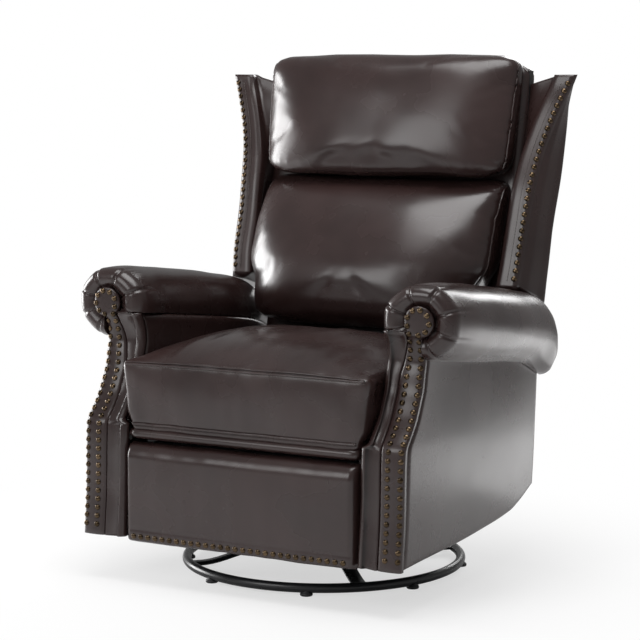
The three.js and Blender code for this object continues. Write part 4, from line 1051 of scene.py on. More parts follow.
class BuildArms(bpy.types.Operator):
    """Build the rolls, side panels, keyhole panels, front bands and inner pads of both arms"""

    bl_idname = "recliner.build_arms"
    bl_label = "Build Arms"

    def execute(self, context):
        for name, sign in SIDES:
            self.roll(name, sign)
            self.side_panel(name, sign)
            self.keyhole(name, sign)
            self.inner_pad(name, sign)
        return {"FINISHED"}

    def roll(self, name, sign):
        count, pleats = 192, bpy.context.scene.recliner_trim.pleats
        rings = [roll_section(-forward, share, 1.0, count, pleats) for share, forward in ROLL_FACE]
        end = ARM.rear - 2
        for i, y in enumerate(spread(46, -ROLL.face_rear, end)):
            rings.append(roll_section(y, 1, max(0.0, 1 - i / PLEAT.rings) ** 1.5, count, pleats))
        for share, back in ((0.93, 0.6), (0.75, 1.4), (0.45, 2)):
            rings.append(roll_section(end + back, share, 0, count, pleats))
        obj = loft(f"rolled_arm_{name}", [[place(sign * x, y, z) for x, y, z in ring] for ring in rings])
        ruffle(obj, height=0.0016, size=0.09, seed=3 + sign)
        dress(obj, "chassis", "shell_leather", f"arm_roll_{name}", fill=0.9)

    def side_panel(self, name, sign):
        inset = ARM.front_panel + GAP
        top_front = roll_seat_z(-ARM.near + inset) - GAP
        foot = arm_front_y(ARM.bottom) + inset
        rear_top = roll_seat_z(ARM.rear) - GAP
        inner = ARM.outer - ARM.panel
        wide, high = ARM.rear + ARM.near, top_front - ARM.bottom

        def bottom(u):
            y = mix(foot, ARM.rear_foot, u)
            return y, arm_bottom_z(y)

        def top(u):
            y = mix(arm_front_y(top_front) + inset, ARM.rear, u)
            return y, roll_seat_z(y) - GAP

        def front(v):
            z = mix(bottom(0)[1], top(0)[1], v)
            return mix(foot, arm_front_y(z) + inset, min(1, v * 12)), z

        def rear(v):
            return mix(ARM.rear_foot, ARM.rear, v), mix(ARM.rear_foot_height, rear_top, v)

        def pair_at(u, v):
            y, z = patch(bottom, top, front, rear, u, v)
            edge = rounding(rim_distance(u, v, wide, high), ARM.side_round)
            belly = ARM.side_belly * math.sin(math.pi * u) * math.sin(math.pi * min(1, v * 1.15 + 0.02))
            x = inner + ARM.panel * mix(0.35, 1, edge) + max(0, belly)
            return place(sign * x, y, z), place(sign * inner, y, z)

        obj = slab_between(f"side_panel_{name}", *two_grids(70, 80, pair_at))
        ruffle(obj, height=0.0012, size=0.16, seed=8 + sign)
        dress(obj, "chassis", "shell_leather", f"arm_outer_panel_{name}", fill=0.4)

    def keyhole(self, name, sign):
        head_top = KEYHOLE.head_z + KEYHOLE.head_radius

        def pair_at(u, v):
            z = mix(ARM.bottom, head_top, 1 - (1 - v) ** 1.35) - 0.02
            inner, outer = keyhole_width(z)
            x, front = mix(inner, outer, u), arm_front_y(z)
            rim = min(min(u, 1 - u) * (outer - inner), z - ARM.bottom + 1.5, head_top - z + 1)
            soft = rounding(rim, KEYHOLE.round)
            neck = ease((z - KEYHOLE.neck_low) / (KEYHOLE.head_z - KEYHOLE.neck_low))
            y = front + KEYHOLE.edge_back * (1 - soft) - KEYHOLE.belly * math.sin(math.pi * u) * soft
            back = front + mix(ARM.front_panel, KEYHOLE.head_depth, neck)
            return place(sign * x, y, z), place(sign * x, back, z)

        obj = slab_between(f"keyhole_panel_{name}", *two_grids(150, 14, pair_at))
        dress(obj, "chassis", "shell_leather", f"arm_front_panel_{name}", fill=0.5)

    def inner_pad(self, name, sign):
        """The front band with its soft corners, and the pad that runs back from it."""
        pad_top = roll_seat_z(-ARM.near) - GAP
        rings = []
        for z in spread(110, ARM.bottom, pad_top):
            inner = mix(ARM.band_inner, ARM.pad_inner, ease((z - ARM.ledge + 5) / 5))
            outer = neck_inner(min(z, KEYHOLE.neck_top)) - GAP
            front = arm_front_y(z)
            rear = front + ARM.band_depth
            shape = round_corner(outer, front, -ARM.band_back_round, 6)
            shape += round_corner(inner, front, min(ARM.band_round, (outer - inner) * 0.42), 11)
            shape += [(inner, rear), (mix(inner, outer, HALF), rear), (outer, rear)]
            rings.append([place(sign * x, y, z) for x, y in shape])
        band = loft(f"front_band_{name}", rings)
        ruffle(band, height=0.0008, size=0.05, seed=5 + sign)
        end = ARM.frame_rear - GAP
        inset = ARM.band_depth - 4
        top_front = roll_seat_z(-ARM.near + inset) - GAP

        def bottom(u):
            return mix(arm_front_y(ARM.pad_bottom) + inset, end, u), ARM.pad_bottom

        def top(u):
            y = mix(arm_front_y(top_front) + inset, end, u)
            return y, roll_seat_z(y) - GAP

        def front_edge(v):
            z = mix(ARM.pad_bottom, top_front, v)
            return arm_front_y(z) + inset, z

        def rear_edge(v):
            return end, mix(ARM.pad_bottom, roll_seat_z(end) - GAP, v)

        def pair_at(u, v):
            y, z = patch(bottom, top, front_edge, rear_edge, u, v)
            edge = rounding(min(v * 230, (1 - v) * 60, (1 - u) * 500), ARM.pad_round)
            x = ARM.pad_inner + 5 * (1 - edge)
            return place(sign * x, y, z), place(sign * (ARM.frame_inner - GAP), y, z)

        pad = slab_between(f"inner_pad_{name}", *two_grids(36, 70, pair_at))
        dress(pad, "chassis", "shell_leather", f"arm_inner_pad_{name}", fill=0.7)
        dress(band, "chassis", "shell_leather", f"arm_inner_pad_{name}", fill=0.8)


# Cushions


def upright_section(half_width, front, back, level):
    """A section of an upright cushion: flat at the back and swelling forward from its side seams."""
    points = []
    for share in spread(23, -HALF, HALF):
        s = math.sin(share * math.pi)
        swelled = math.sqrt(max(0.0, 1 - abs(s) ** CUSHION_BULGE))
        points.append((half_width * s, back + (front - back) * mix(CUSHION_SEAM, 1, swelled), level))
    edge = mix(back, front, 0.1)
    points += [(half_width, edge, level), (half_width * 0.96, back, level)]
    points += [(half_width * share, back, level) for share in (0.5, 0, -0.5)]
    points += [(-half_width * 0.96, back, level), (-half_width, edge, level)]
    return points


def upright_cushion(name, low, high, half_width_at, depth_at, corner, shrink):
    """The starting skin of a back cushion, a little smaller than the cushion that it becomes."""
    rings = []
    for share in spread(34):
        z = mix(low, high, share)
        back = cushion_back_y(z)
        end = min(share, 1 - share) * (high - low)
        half = half_width_at(share) - corner * (1 - rounding(end, corner))
        section = upright_section(half - shrink, back - depth_at(share) + shrink, back, z)
        rings.append([place(x, y, z) for x, y, z in section])
    return loft(name, rings)


def side_seam(low, high, half_width_at, depth_at, sign):
    points = []
    for share in spread(120, 0.03, 0.97):
        z = mix(low, high, share)
        y = cushion_back_y(z) - depth_at(share) * CUSHION_SEAM
        points.append(place(sign * half_width_at(share), y, z))
    return points


class BuildSeat(bpy.types.Operator):
    """Build the boxed seat cushion with its crown, double-stitched front seam and lower lip"""

    bl_idname = "recliner.build_seat"
    bl_label = "Build Seat"

    def execute(self, context):
        look = context.scene.recliner_cushions
        rise = Curve(SEAT_TOP)
        length = SEAT.front + SEAT.rear
        rings = []
        for share in [0, 0.008, 0.02] + spread(30, 0.035, 0.98) + [0.992, 1]:
            y = mix(-SEAT.front + SEAT.shrink, SEAT.rear - 1, share)
            top = SEAT.seam + (SEAT.crown - SEAT.seam) * rise(share) - SEAT.shrink
            end = min(share, 1 - share) * length
            soft = SEAT.round * 2 * (1 - rounding(end, SEAT.round * 4))
            rings.append([place(*point) for point in self.section(y, top, soft)])
        cushion = loft("seat_cushion_cover", rings)
        remesh(cushion, look.voxel, 4)
        seam = self.front_seam()
        lip = self.front_line(SEAT.bottom + SEAT.lip_rise)
        held_lines = line_tree(seam + lip)
        floor_z = (SEAT.bottom + 8) * MM
        side_x = (SEAT.wide - 6) * MM

        def held(point):
            if point.z < floor_z or (abs(point.x) > side_x and point.z < SEAT.seam * MM):
                return 1.0
            return nearness(held_lines, point, look.voxel * CLOTH.hold)

        swell(cushion, held, look.reach, look.slack, look.pressure)
        keep_within(cushion, self.limit)
        refine(cushion)
        crease_along(cushion, seam, depth=0.0035, width=0.0045)
        crease_along(cushion, lip, depth=0.003, width=0.004)
        for sign in (1, -1):
            run = spread(120, -SEAT.front + 30, SEAT.rear - 10)
            edge = [place(sign * SEAT.wide, y, SEAT.seam) for y in run]
            crease_along(cushion, edge, depth=0.003, width=0.005)
        ruffle(cushion, height=0.0018, size=0.075, seed=2)
        ruffle(cushion, height=0.0013, size=0.028, seed=21, stretch=(1, 3, 9))
        keep_within(cushion, self.limit)
        dress(cushion, "seat", "cushion_leather", "seat_cushion", fill=0.85)
        threads, welts = [], []
        for lift in (-4, 4):
            row = [point + Vector((0, 0, lift * MM)) for point in seam]
            welts.append(welt_along(cushion, row, radius=0.0023, lift=0.0007))
            outer = [point + Vector((0, 0, lift * 2 * MM)) for point in seam]
            threads += stitch_row(cushion, outer)
        welts.append(welt_along(cushion, lip, radius=0.0029, lift=0.0012))
        dress(shells("seat_welts", welts), "seat", "cushion_leather")
        dress_threads("seat_stitching", threads, "seat", "cushion_leather")
        self.lip()
        return {"FINISHED"}

    def lip(self):
        """The soft roll of leather that hangs under the front of the seat."""
        half, sides = SEAT.half_width - SEAT.shrink, 20
        rings = []
        for share in spread(40):
            size = mix(0.72, 1, rounding(min(share, 1 - share) * half * 2, SEAT.lip_end))
            ring = []
            for k in range(sides):
                y = -SEAT.front + SEAT.lip_back - SEAT.lip_radius * size * math.cos(TURN * k / sides)
                z = SEAT.bottom - 2 + SEAT.lip_height * size * math.sin(TURN * k / sides)
                ring.append(place(mix(-half, half, share), y, z))
            rings.append(ring)
        dress(loft("seat_lip", rings), "seat", "cushion_leather")

    def section(self, y, top, soft):
        """A section across the seat: flat below, drawn-in sides, a seam and a crown."""
        flared = ease((arm_front_y(SEAT.seam - 55) - y) / 12)
        flare = mix(SEAT.wide, SEAT.flare, flared)
        low = SEAT.half_width
        shape = [
            (low - soft, SEAT.bottom + soft * HALF), (low - soft, SEAT.bottom + 10),
            (low - soft, ARM.ledge), (SEAT.wide - 4 - soft, ARM.ledge + 12),
            (SEAT.wide - soft, (ARM.ledge + SEAT.seam) * HALF),
            (flare - 4 - soft, SEAT.seam - (SEAT.crown - SEAT.seam) * HALF), (flare - soft, SEAT.seam),
        ]
        for s in (0.99, 0.97, 0.93, 0.86, 0.76, 0.6, 0.45, 0.3, 0.15):
            shape.append(((flare - soft) * s, SEAT.seam + (top - SEAT.seam) * (1 - s ** 3.2)))
        left = [(-x, z) for x, z in reversed(shape)]
        under = [(-low * HALF, SEAT.bottom), (low * HALF, SEAT.bottom)]
        return [(x, y, z) for x, z in [*shape, (0, top), *left, *under]]

    def front_seam(self):
        """The seam along the top of the front edge."""
        return [place(x, -SEAT.front, SEAT.seam) for x in spread(160, -SEAT.flare + 8, SEAT.flare - 8)]

    def front_line(self, z):
        return [place(x, -SEAT.front, z) for x in spread(160, -SEAT.half_width + 6, SEAT.half_width - 6)]

    def limit(self, co):
        """Keeps the cushion clear of the arms, the deck, the back cushion and the footrest."""
        x, y, z = co
        wide = SEAT.wide * MM
        if y < (arm_front_y(SEAT.seam) - 6) * MM + AXIS_Y and z > (SEAT.seam - 60) * MM:
            wide = (SEAT.flare + 3) * MM
        if z < (ARM.ledge + 2) * MM:
            wide = SEAT.half_width * MM
        x = min(max(x, -wide), wide)
        y = min(max(y, -(SEAT.front + 11) * MM + AXIS_Y), SEAT.rear * MM + AXIS_Y)
        return Vector((x, y, max(z, SEAT.bottom * MM)))


class BuildBackCushions(bpy.types.Operator):
    """Build the lower back cushion and the head pillow with gathered side seams"""

    bl_idname = "recliner.build_back_cushions"
    bl_label = "Build Back Cushions"

    def execute(self, context):
        front, pillow_front = Curve(BACK_FRONT), Curve(PILLOW_FRONT)
        self.make(
            "back_cushion_cover", "back_cushion", BACK.cushion_low, BACK.cushion_high,
            half_at=lambda share: mix(BACK.cushion_low_half, BACK.cushion_half, back_width_share(share)),
            depth_at=lambda share: BACK.cushion_depth * (1 - front(share)),
            corner=BACK.cushion_corner, period=0.03, seed=11,
            weight=lambda share: 0.3 + 0.6 * share,
        )
        self.make(
            "head_pillow_cover", "head_pillow", BACK.pillow_low, BACK.pillow_high,
            half_at=lambda share: mix(BACK.pillow_low_half, BACK.pillow_half, share),
            depth_at=lambda share: BACK.pillow_depth * (1 - pillow_front(share)),
            corner=BACK.pillow_corner, period=0.027, seed=5,
            weight=lambda share: 0.25 + 1.3 * (1 - share) ** 3,
        )
        return {"FINISHED"}

    def make(self, name, node, low, high, half_at, depth_at, corner, period, seed, weight):
        look = bpy.context.scene.recliner_cushions
        cushion = upright_cushion(name, low, high, half_at, depth_at, corner, shrink=4)
        remesh(cushion, look.voxel, 5)
        seams = [side_seam(low, high, half_at, depth_at, sign) for sign in (1, -1)]
        lines = line_tree(seams[0] + seams[1])

        def held(point):
            behind = (back_rear_y(point.z / MM) - BACK.panel - BACK.board - 6) * MM + AXIS_Y
            if point.y > behind - 0.01:
                return 1.0
            return nearness(lines, point, look.voxel * CLOTH.hold)

        swell(cushion, held, look.reach, look.slack, look.pressure)
        low_corner, high_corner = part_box(node)

        def limit(co):
            behind = cushion_back_y(co.z / MM) * MM + AXIS_Y
            return Vector((
                min(max(co.x, -BACK.pillow_half * MM), BACK.pillow_half * MM),
                min(max(co.y, low_corner.y - 0.008), behind),
                min(max(co.z, low_corner.z - 0.001), high_corner.z + 0.004),
            ))

        keep_within(cushion, limit)
        refine(cushion)
        for i, line in enumerate(seams):
            fine, depth = resample(line, 0.004), look.gather * (1, 0.3)[i]
            gather_along(cushion, fine, depth, 0.062, period, seed + i, weight)
            crease_along(cushion, fine, depth=0.003, width=0.005)
        ruffle(cushion, height=0.0028, size=0.11, seed=seed)
        keep_within(cushion, limit)
        dress(cushion, "back", "cushion_leather", node, fill=0.85)
        welts = [welt_along(cushion, resample(line, 0.006), radius=0.0022, lift=0.0006) for line in seams]
        dress(shells(f"{name}_piping", welts), "back", "cushion_leather")


# Back shell and wings


class BuildBackShell(bpy.types.Operator):
    """Build the padded outer panel of the back and the board under it"""

    bl_idname = "recliner.build_back_shell"
    bl_label = "Build Back Shell"

    def execute(self, context):
        def pair_at(u, v):
            z = mix(BACK.bottom, BACK.top, v)
            wide = back_half(z, BACK.low_half_width)
            edge = rounding(rim_distance(u, v, wide * 2, BACK.top - BACK.bottom), BACK.round)
            belly = BACK.belly * math.sin(math.pi * u) * math.sin(math.pi * v)
            x, rear = mix(-wide, wide, u), back_rear_y(z)
            padded = rear - BACK.panel * 0.65 * (1 - edge) + belly
            return place(x, padded, z), place(x, rear - BACK.panel, z)

        panel = slab_between("back_panel", *two_grids(70, 50, pair_at))
        ruffle(panel, height=0.0015, size=0.2, seed=6)
        dress(panel, "back", "shell_leather", "back_outer_panel", fill=0.4)
        seams = []
        for x in (-BACK.half_width * HALF, BACK.half_width * HALF):
            line = [place(x, back_rear_y(z) + 4, z) for z in spread(120, BACK.bottom + 14, BACK.top - 14)]
            crease_along(panel, line, depth=0.0018, width=0.0035)
            for lift in (-3.5, 3.5):
                seams += stitch_row(panel, [point + Vector((lift * MM, 0, 0)) for point in line])
        dress_threads("back_panel_stitching", seams, "back", "shell_leather")
        self.lining()
        self.valance()
        return {"FINISHED"}

    def lining(self):
        """The soft leather that covers the board round the cushions."""
        def pair_at(u, v):
            z = mix(BACK.bottom + 2, BACK.top - 1, v)
            wide = back_half(z, BACK.lining_low_half) - GAP
            edge = rounding(rim_distance(u, v, wide * 2, BACK.top - BACK.bottom), BACK.lining_round)
            x, board = mix(-wide, wide, u), cushion_back_y(z)
            return place(x, board - mix(BACK.lining_edge, BACK.lining_depth, edge), z), place(x, board, z)

        lining = slab_between("back_lining", *two_grids(60, 30, pair_at))
        dress(lining, "back", "shell_leather")

    def valance(self):
        wide, high = VALANCE.half_width * 2, VALANCE.high - VALANCE.low
        thick = VALANCE.rear - VALANCE.front

        def pair_at(u, v):
            x = mix(-VALANCE.half_width, VALANCE.half_width, u)
            z = mix(VALANCE.low, VALANCE.high, v)
            edge = rounding(rim_distance(u, v, wide, high), VALANCE.round)
            return place(x, VALANCE.rear - thick * HALF * (1 - edge), z), place(x, VALANCE.front, z)

        board = slab_between("rear_valance_cover", *two_grids(24, 60, pair_at))
        dress(board, "chassis", "shell_leather", "rear_valance", fill=0.3)


class BuildWings(bpy.types.Operator):
    """Build both padded wings with their front bands"""

    bl_idname = "recliner.build_wings"
    bl_label = "Build Wings"

    def execute(self, context):
        for name, sign in SIDES:
            rings = [[place(sign * x, y, z) for x, y, z in self.section(share)] for share in spread(90)]
            wing = loft(f"padded_wing_{name}", rings)
            seam = []
            for share in spread(120, 0.03, 0.965):
                x, y, z = wing_edge(share)
                seam.append(place(sign * (x - WING.seam_inset), y - 1, z))
            crease_along(wing, seam, depth=0.0022, width=0.004)
            ruffle(wing, height=0.0018, size=0.12, seed=4 + sign)
            dress(wing, "back", "shell_leather", f"wing_{name}", fill=0.8)
            threads = stitch_row(wing, [point + Vector((-sign * 4 * MM, 0, 0)) for point in seam])
            dress_threads(f"wing_stitching_{name}", threads, "back", "shell_leather")
        return {"FINISHED"}

    def section(self, share):
        """A section through the wing: rounded front edge, outer side, rear edge and smooth inner face."""
        x, y, z = wing_edge(share)
        rear_y = back_rear_y(z) - 4
        rear_x = WING.rear_outer + WING.rear_flare * share
        drop = WING.bottom - BACK.step + BACK.panel * 2
        fall = drop * max(0, 1 - share / WING.foot_share)
        inner = BACK.half_width + GAP
        soft = WING.round
        front_inner = max(WING.front_inner, x - WING.band)
        top_fall = WING.fall * share ** 4
        corners = [
            (x - soft * 1.5, y, z), (x - soft * 0.45, y + soft * 0.35, z), (x, y + soft * 1.3, z),
            (mix(x, rear_x, 0.3) + 2.5, mix(y, rear_y, 0.3), z - fall * 0.3),
            (mix(x, rear_x, 0.65) + 2.5, mix(y, rear_y, 0.65), z - fall * 0.65),
            (rear_x, rear_y - soft * 1.6, z - fall),
            (rear_x - soft * 0.5, rear_y - soft * 0.4, z - fall),
            (rear_x - soft * 2, rear_y, z - fall), (inner, rear_y, z - fall - top_fall),
            (inner, mix(y, rear_y, 0.5), z - fall * 0.5 - top_fall * 0.6),
            (front_inner, y + soft * 2.4, z - top_fall * 0.08),
            (front_inner + soft * 0.4, y + soft * 0.5, z),
            (front_inner + soft * 1.6, y, z),
        ]
        return smooth_loop(corners, 4)


def smooth_loop(points, steps):
    """A closed loop that rounds the corners between its points without leaving them far."""
    count = len(points)
    result = []
    for i in range(count):
        before, here, after, beyond = (Vector(points[(i + k) % count]) for k in (-1, 0, 1, 2))
        run = (after - here).length
        start = (after - before).normalized() * min(run, (here - before).length) * HALF
        end = (beyond - here).normalized() * min(run, (beyond - after).length) * HALF
        for k in range(steps):
            u = k / steps
            result.append(
                here * ((1 + 2 * u) * (1 - u) ** 2) + after * ((3 - 2 * u) * u * u)
                + start * (u * (1 - u) ** 2) - end * (u * u * (1 - u))
            )
    return result


# Footrest and lever


class BuildFootrest(bpy.types.Operator):
    """Build the padded footrest panel with its soft top edge and lower seam"""

    bl_idname = "recliner.build_footrest"
    bl_label = "Build Footrest"

    def execute(self, context):
        high = FOOTREST.top - FOOTREST.bottom
        back = -FOOTREST.front + FOOTREST.pad

        def pair_at(u, v):
            x = mix(-FOOTREST.half_width, FOOTREST.half_width, u)
            z = mix(FOOTREST.bottom, FOOTREST.top, v)
            side = rounding(min(u, 1 - u) * FOOTREST.half_width * 2, FOOTREST.side_round)
            top = rounding((1 - v) * high, FOOTREST.top_round)
            foot = rounding(v * high + 1.5, FOOTREST.foot_round)
            swelled = mix(0.3, 1, side) * mix(0.35, 1, top) * mix(0.6, 1, foot)
            belly = FOOTREST.belly * math.sin(math.pi * v) * math.sin(math.pi * u)
            return place(x, back - FOOTREST.pad * swelled - belly, z), place(x, back, z)

        pad = slab_between("footrest_cover", *two_grids(60, 110, pair_at))
        seam_z = FOOTREST.nail_height + FOOTREST.seam_rise
        across = spread(160, -FOOTREST.seam_end, FOOTREST.seam_end)
        seam = [place(x, -FOOTREST.front, seam_z) for x in across]
        crease_along(pad, seam, depth=0.0015, width=0.003)
        ruffle(pad, height=0.0014, size=0.1, seed=7)
        ruffle(pad, height=0.0007, size=0.03, seed=17, stretch=(1, 3, 9))
        dress(pad, "footrest", "cushion_leather", "footrest_pad", fill=0.7)
        return {"FINISHED"}


class BuildLever(bpy.types.Operator):
    """Build the release lever on the sitter's right"""

    bl_idname = "recliner.build_lever"
    bl_label = "Build Lever"

    def execute(self, context):
        tilt = math.radians(LEVER.angle)
        ahead = Vector((0, -math.cos(tilt), math.sin(tilt)))
        side = Vector((0, math.sin(tilt), math.cos(tilt)))
        hub = place(-LEVER.inner, LEVER.y, LEVER.z)
        sides, thick = 20, LEVER.thickness * HALF
        turns = [TURN * k / sides for k in range(sides)]
        rows = []
        for share in spread(22, -1, 1):
            middle = (share + 1) * HALF
            wide = mix(LEVER.hub, LEVER.tip, middle)
            near_end = max(0, (abs(share) - 1 + LEVER.end_share) / LEVER.end_share)
            half = max(0.8, wide * mix(0.35, 1, math.sqrt(max(0.0, 1 - near_end ** 2))))
            centre = hub + ahead * mix(-LEVER.hub, LEVER.length + LEVER.tip, middle) * MM
            rows.append([
                centre + (side * half * math.cos(turn) - Vector((thick * (1 + math.sin(turn)), 0, 0))) * MM
                for turn in turns
            ])
        radius, length = LEVER.shaft * MM, (LEVER.inner - LEVER.shaft_inner + 3) * MM
        start = place(-LEVER.shaft_inner, LEVER.y, LEVER.z)
        shaft = turned([(radius, 0), (radius, length)], start, (-1, 0, 0), sides)
        lever = shells("pull_lever", [rows, shaft])
        dress(lever, "drive", "black_plastic", "release_lever")
        return {"FINISHED"}


# Nailhead trim


def dome_parts(spots):
    """Domed nailheads at an even pitch along a row of surface spots."""
    look = bpy.context.scene.recliner_trim
    radius, high = look.diameter * HALF, look.height
    profile = [(radius * 0.9, -0.6 * MM), (radius, 0.1 * MM), (radius * 0.97, high * 0.3),
               (radius * 0.82, high * 0.64), (radius * 0.55, high * 0.88), (radius * 0.22, high)]
    lengths = lengths_along([spot for spot, _ in spots])
    count = int((lengths[-1] - look.diameter) / look.pitch)
    start = (lengths[-1] - count * look.pitch) * HALF
    parts = []
    for i, share in stops_along(lengths, [start + n * look.pitch for n in range(count + 1)]):
        (here, facing), (there, facing_there) = spots[i], spots[i + 1]
        direction = facing.lerp(facing_there, share).normalized()
        parts.append(turned(profile, here.lerp(there, share), direction, 14))
    return parts


class BuildNails(bpy.types.Operator):
    """Build the nailhead trim of the arms, wings and footrest"""

    bl_idname = "recliner.build_nails"
    bl_label = "Build Nailhead Trim"

    def execute(self, context):
        for name, sign in SIDES:
            arm = shells(f"arm_nails_{name}", dome_parts(self.arm_path(name, sign)))
            dress(arm, "chassis", "nailhead_brass", f"arm_nail_strip_{name}")
            wing = shells(f"wing_nails_{name}", dome_parts(self.wing_path(name, sign)))
            dress(wing, "back", "nailhead_brass", f"wing_nail_strip_{name}")
        run = spread(120, -FOOTREST.nail_end, FOOTREST.nail_end)
        line = [place(x, -FOOTREST.front, FOOTREST.nail_height) for x in run]
        spots = on_surface(bpy.data.objects["footrest_cover"], line)
        trim = shells("footrest_nails", dome_parts([(spot, Vector((0, -1, 0))) for spot, _ in spots]))
        dress(trim, "footrest", "nailhead_brass", "footrest_nail_strip")
        return {"FINISHED"}

    def arm_path(self, name, sign):
        """Up the inner edge of the keyhole panel, round its head and down the outer edge."""
        foot = roll_seat_z(-ARM.near) - 4
        draw = KEYHOLE.neck_draw * HALF
        inner = Curve([(NAIL.low, 0), (KEYHOLE.neck_low, 0), (KEYHOLE.neck_middle, draw), (foot, 8)])
        outer = Curve([(NAIL.low, 0), (KEYHOLE.neck_top, 0), (foot, 2)])
        heights = spread(90, NAIL.low, foot)
        line = [place(sign * (NAIL.inner + inner(z)), arm_front_y(z) - 4, z) for z in heights]
        for angle in spread(40, math.radians(225), math.radians(-75)):
            x = KEYHOLE.head_x + KEYHOLE.nail_radius * math.cos(angle)
            z = KEYHOLE.head_z + KEYHOLE.nail_radius * math.sin(angle)
            line.append(place(sign * x, -KEYHOLE.head_front - 4, z))
        line += [place(sign * (NAIL.outer + outer(z)), arm_front_y(z) - 4, z) for z in reversed(heights)]
        return on_surface(bpy.data.objects[f"keyhole_panel_{name}"], line)

    def wing_path(self, name, sign):
        line = []
        for share in spread(90, 0.015, 0.985):
            x, y, z = wing_edge(share)
            line.append(place(sign * (x - WING.nail_inset), y - 2, z))
        return on_surface(bpy.data.objects[f"padded_wing_{name}"], line)


# Pieces that keep their own shape


class FinishFrame(bpy.types.Operator):
    """Give the steel pieces their finish and the plywood boards the black lining that wraps them"""

    bl_idname = "recliner.finish_frame"
    bl_label = "Finish Frame Pieces"

    def execute(self, context):
        slots = {row["node"]: row["material_slot"] for row in frame["record"]["subparts"]}
        for node, obj in frame["nodes"].items():
            obj.data.materials.clear()
            obj.data.materials.append(finish_for(slots[node]))
        return {"FINISHED"}


# Stage


def blend_shaders(tree, share, low, high, x):
    node = add_node(tree, "ShaderNodeMixShader", x, 0)
    tree.links.new(share, node.inputs["Fac"])
    tree.links.new(low, node.inputs[1])
    tree.links.new(high, node.inputs[2])
    return node.outputs["Shader"]


def aim(obj, where, target):
    """Puts a lamp or camera in its place and turns it to a point."""
    obj.location = where
    obj.rotation_euler = (target - where).to_track_quat("-Z", "Y").to_euler()


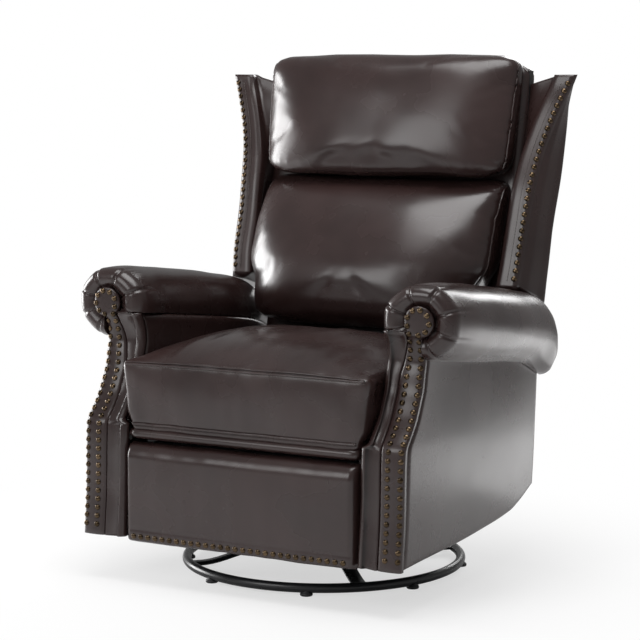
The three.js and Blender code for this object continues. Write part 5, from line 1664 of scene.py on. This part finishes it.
class BuildStage(bpy.types.Operator):
    """Set the floor, the soft lamps and the camera"""

    bl_idname = "recliner.build_stage"
    bl_label = "Build Stage"

    def execute(self, context):
        look = context.scene.recliner_stage
        self.floor(look)
        self.room(look)
        self.lamp("key", look.key, 2.0, (-1.2, -3.6, 2.2), (0, 0, 0.6))
        self.lamp("back", look.back, 1.5, (0.0, 3.0, 2.1), (0.3, -0.1, 0.6))
        self.lamp("side", look.fill, 1.1, (1.05, 1.15, 0.02), (1.05, 1.15, 1.0))
        self.lamp("edge", look.rim, 1.6, (-3.2, -0.1, 0.85), (-0.2, 0.1, 0.7))
        self.lamp("overhead", look.top, 1.6, (0.2, -0.4, 3.0), (0, 0, 0.6))
        self.camera()
        return {"FINISHED"}

    def floor(self, look):
        """A white floor that fades into the white backdrop away from the chair."""
        size = 4.0
        mesh = bpy.data.meshes.new("floor")
        mesh.from_pydata([(x, y, 0) for y in (-size, size) for x in (-size, size)], [], [(0, 1, 3, 2)])
        floor = show("floor", mesh)
        material = bpy.data.materials.new("floor")
        material.use_nodes = True
        tree = material.node_tree
        shader = tree.nodes["Principled BSDF"]
        set_inputs(shader, {"Base Color": (*look.floor, 1), "Roughness": 0.9, "Specular IOR Level": 0.1})
        glow = add_node(tree, "ShaderNodeEmission", 0, -250)
        set_inputs(glow, {"Color": WHITE})
        where = add_node(tree, "ShaderNodeTexCoord", -900, 200)
        far = add_node(tree, "ShaderNodeVectorMath", -700, 200, operation="LENGTH")
        tree.links.new(where.outputs["Object"], far.inputs[0])
        fade = add_node(tree, "ShaderNodeMapRange", -500, 200, interpolation_type="SMOOTHSTEP")
        set_inputs(fade, {"From Min": 0.35, "From Max": 1.1, "To Min": 0.6})
        tree.links.new(far.outputs["Value"], fade.inputs["Value"])
        ray = add_node(tree, "ShaderNodeLightPath", -500, 500)
        camera_ray, faded = ray.outputs["Is Camera Ray"], fade.outputs["Result"]
        seen = math_node(tree, "MULTIPLY", -250, 300, camera_ray, faded)
        blend = blend_shaders(tree, seen, shader.outputs["BSDF"], glow.outputs["Emission"], 250)
        tree.links.new(blend, tree.nodes["Material Output"].inputs["Surface"])
        mesh.materials.append(material)

    def room(self, look):
        """A white backdrop, an even light, and a dimmer white that only reflections see."""
        world = bpy.data.worlds.new("studio")
        world.use_nodes = True
        tree = world.node_tree
        plain = tree.nodes["Background"]
        set_inputs(plain, {"Color": WHITE, "Strength": look.room})
        white = add_node(tree, "ShaderNodeBackground", -100, -200)
        set_inputs(white, {"Color": WHITE, "Strength": 1.0})
        dim = add_node(tree, "ShaderNodeBackground", -300, -350)
        set_inputs(dim, {"Color": WHITE, "Strength": look.sheen})
        ray = add_node(tree, "ShaderNodeLightPath", -600, 300).outputs
        lit = blend_shaders(
            tree, ray["Is Glossy Ray"], plain.outputs["Background"], dim.outputs["Background"], 0
        )
        seen = blend_shaders(tree, ray["Is Camera Ray"], lit, white.outputs["Background"], 200)
        tree.links.new(seen, tree.nodes["World Output"].inputs["Surface"])
        bpy.context.scene.world = world
        bpy.context.scene.view_settings.view_transform = "Standard"

    def lamp(self, name, power, size, where, target):
        data = bpy.data.lights.new(name, "AREA")
        data.energy = power
        data.shape = "SQUARE"
        data.size = size
        lamp = show(name, data)
        lamp.visible_camera = False
        aim(lamp, Vector(where), Vector(target))

    def camera(self):
        data = bpy.data.cameras.new("camera")
        data.lens = CAMERA.lens
        data.sensor_width = CAMERA.sensor
        camera = show("camera", data)
        where = Vector((CAMERA.x, CAMERA.y + AXIS_Y, CAMERA.z))
        aim(camera, where, Vector((CAMERA.target_x, AXIS_Y, CAMERA.target_z)))
        bpy.context.scene.camera = camera


OPERATORS = (
    FinishFrame, BuildBase, BuildArms, BuildSeat, BuildBackCushions, BuildBackShell, BuildWings,
    BuildFootrest, BuildLever, BuildNails, BuildStage,
)
SETTINGS = {
    "recliner_leather": LeatherSettings,
    "recliner_cushions": CushionSettings,
    "recliner_trim": TrimSettings,
    "recliner_stage": StageSettings,
}


class ReclinerPanel(bpy.types.Panel):
    bl_idname = "VIEW3D_PT_recliner"
    bl_label = "Wingback Recliner"
    bl_space_type = "VIEW_3D"
    bl_region_type = "UI"
    bl_category = "Recliner"

    def draw(self, context):
        for name, settings in SETTINGS.items():
            box = self.layout.box()
            for key in settings.__annotations__:
                box.prop(getattr(context.scene, name), key)
        for operator in OPERATORS:
            self.layout.operator(operator.bl_idname)


def register():
    for settings in SETTINGS.values():
        bpy.utils.register_class(settings)
    for name, settings in SETTINGS.items():
        setattr(bpy.types.Scene, name, PointerProperty(type=settings))
    for operator in OPERATORS:
        bpy.utils.register_class(operator)
    bpy.utils.register_class(ReclinerPanel)


def unregister():
    bpy.utils.unregister_class(ReclinerPanel)
    for operator in reversed(OPERATORS):
        bpy.utils.unregister_class(operator)
    for name in SETTINGS:
        delattr(bpy.types.Scene, name)
    for settings in SETTINGS.values():
        bpy.utils.unregister_class(settings)


def main():
    register()
    for operator in OPERATORS:
        getattr(bpy.ops.recliner, operator.bl_idname.split(".")[1])()


if __name__ == "__main__":
    main()
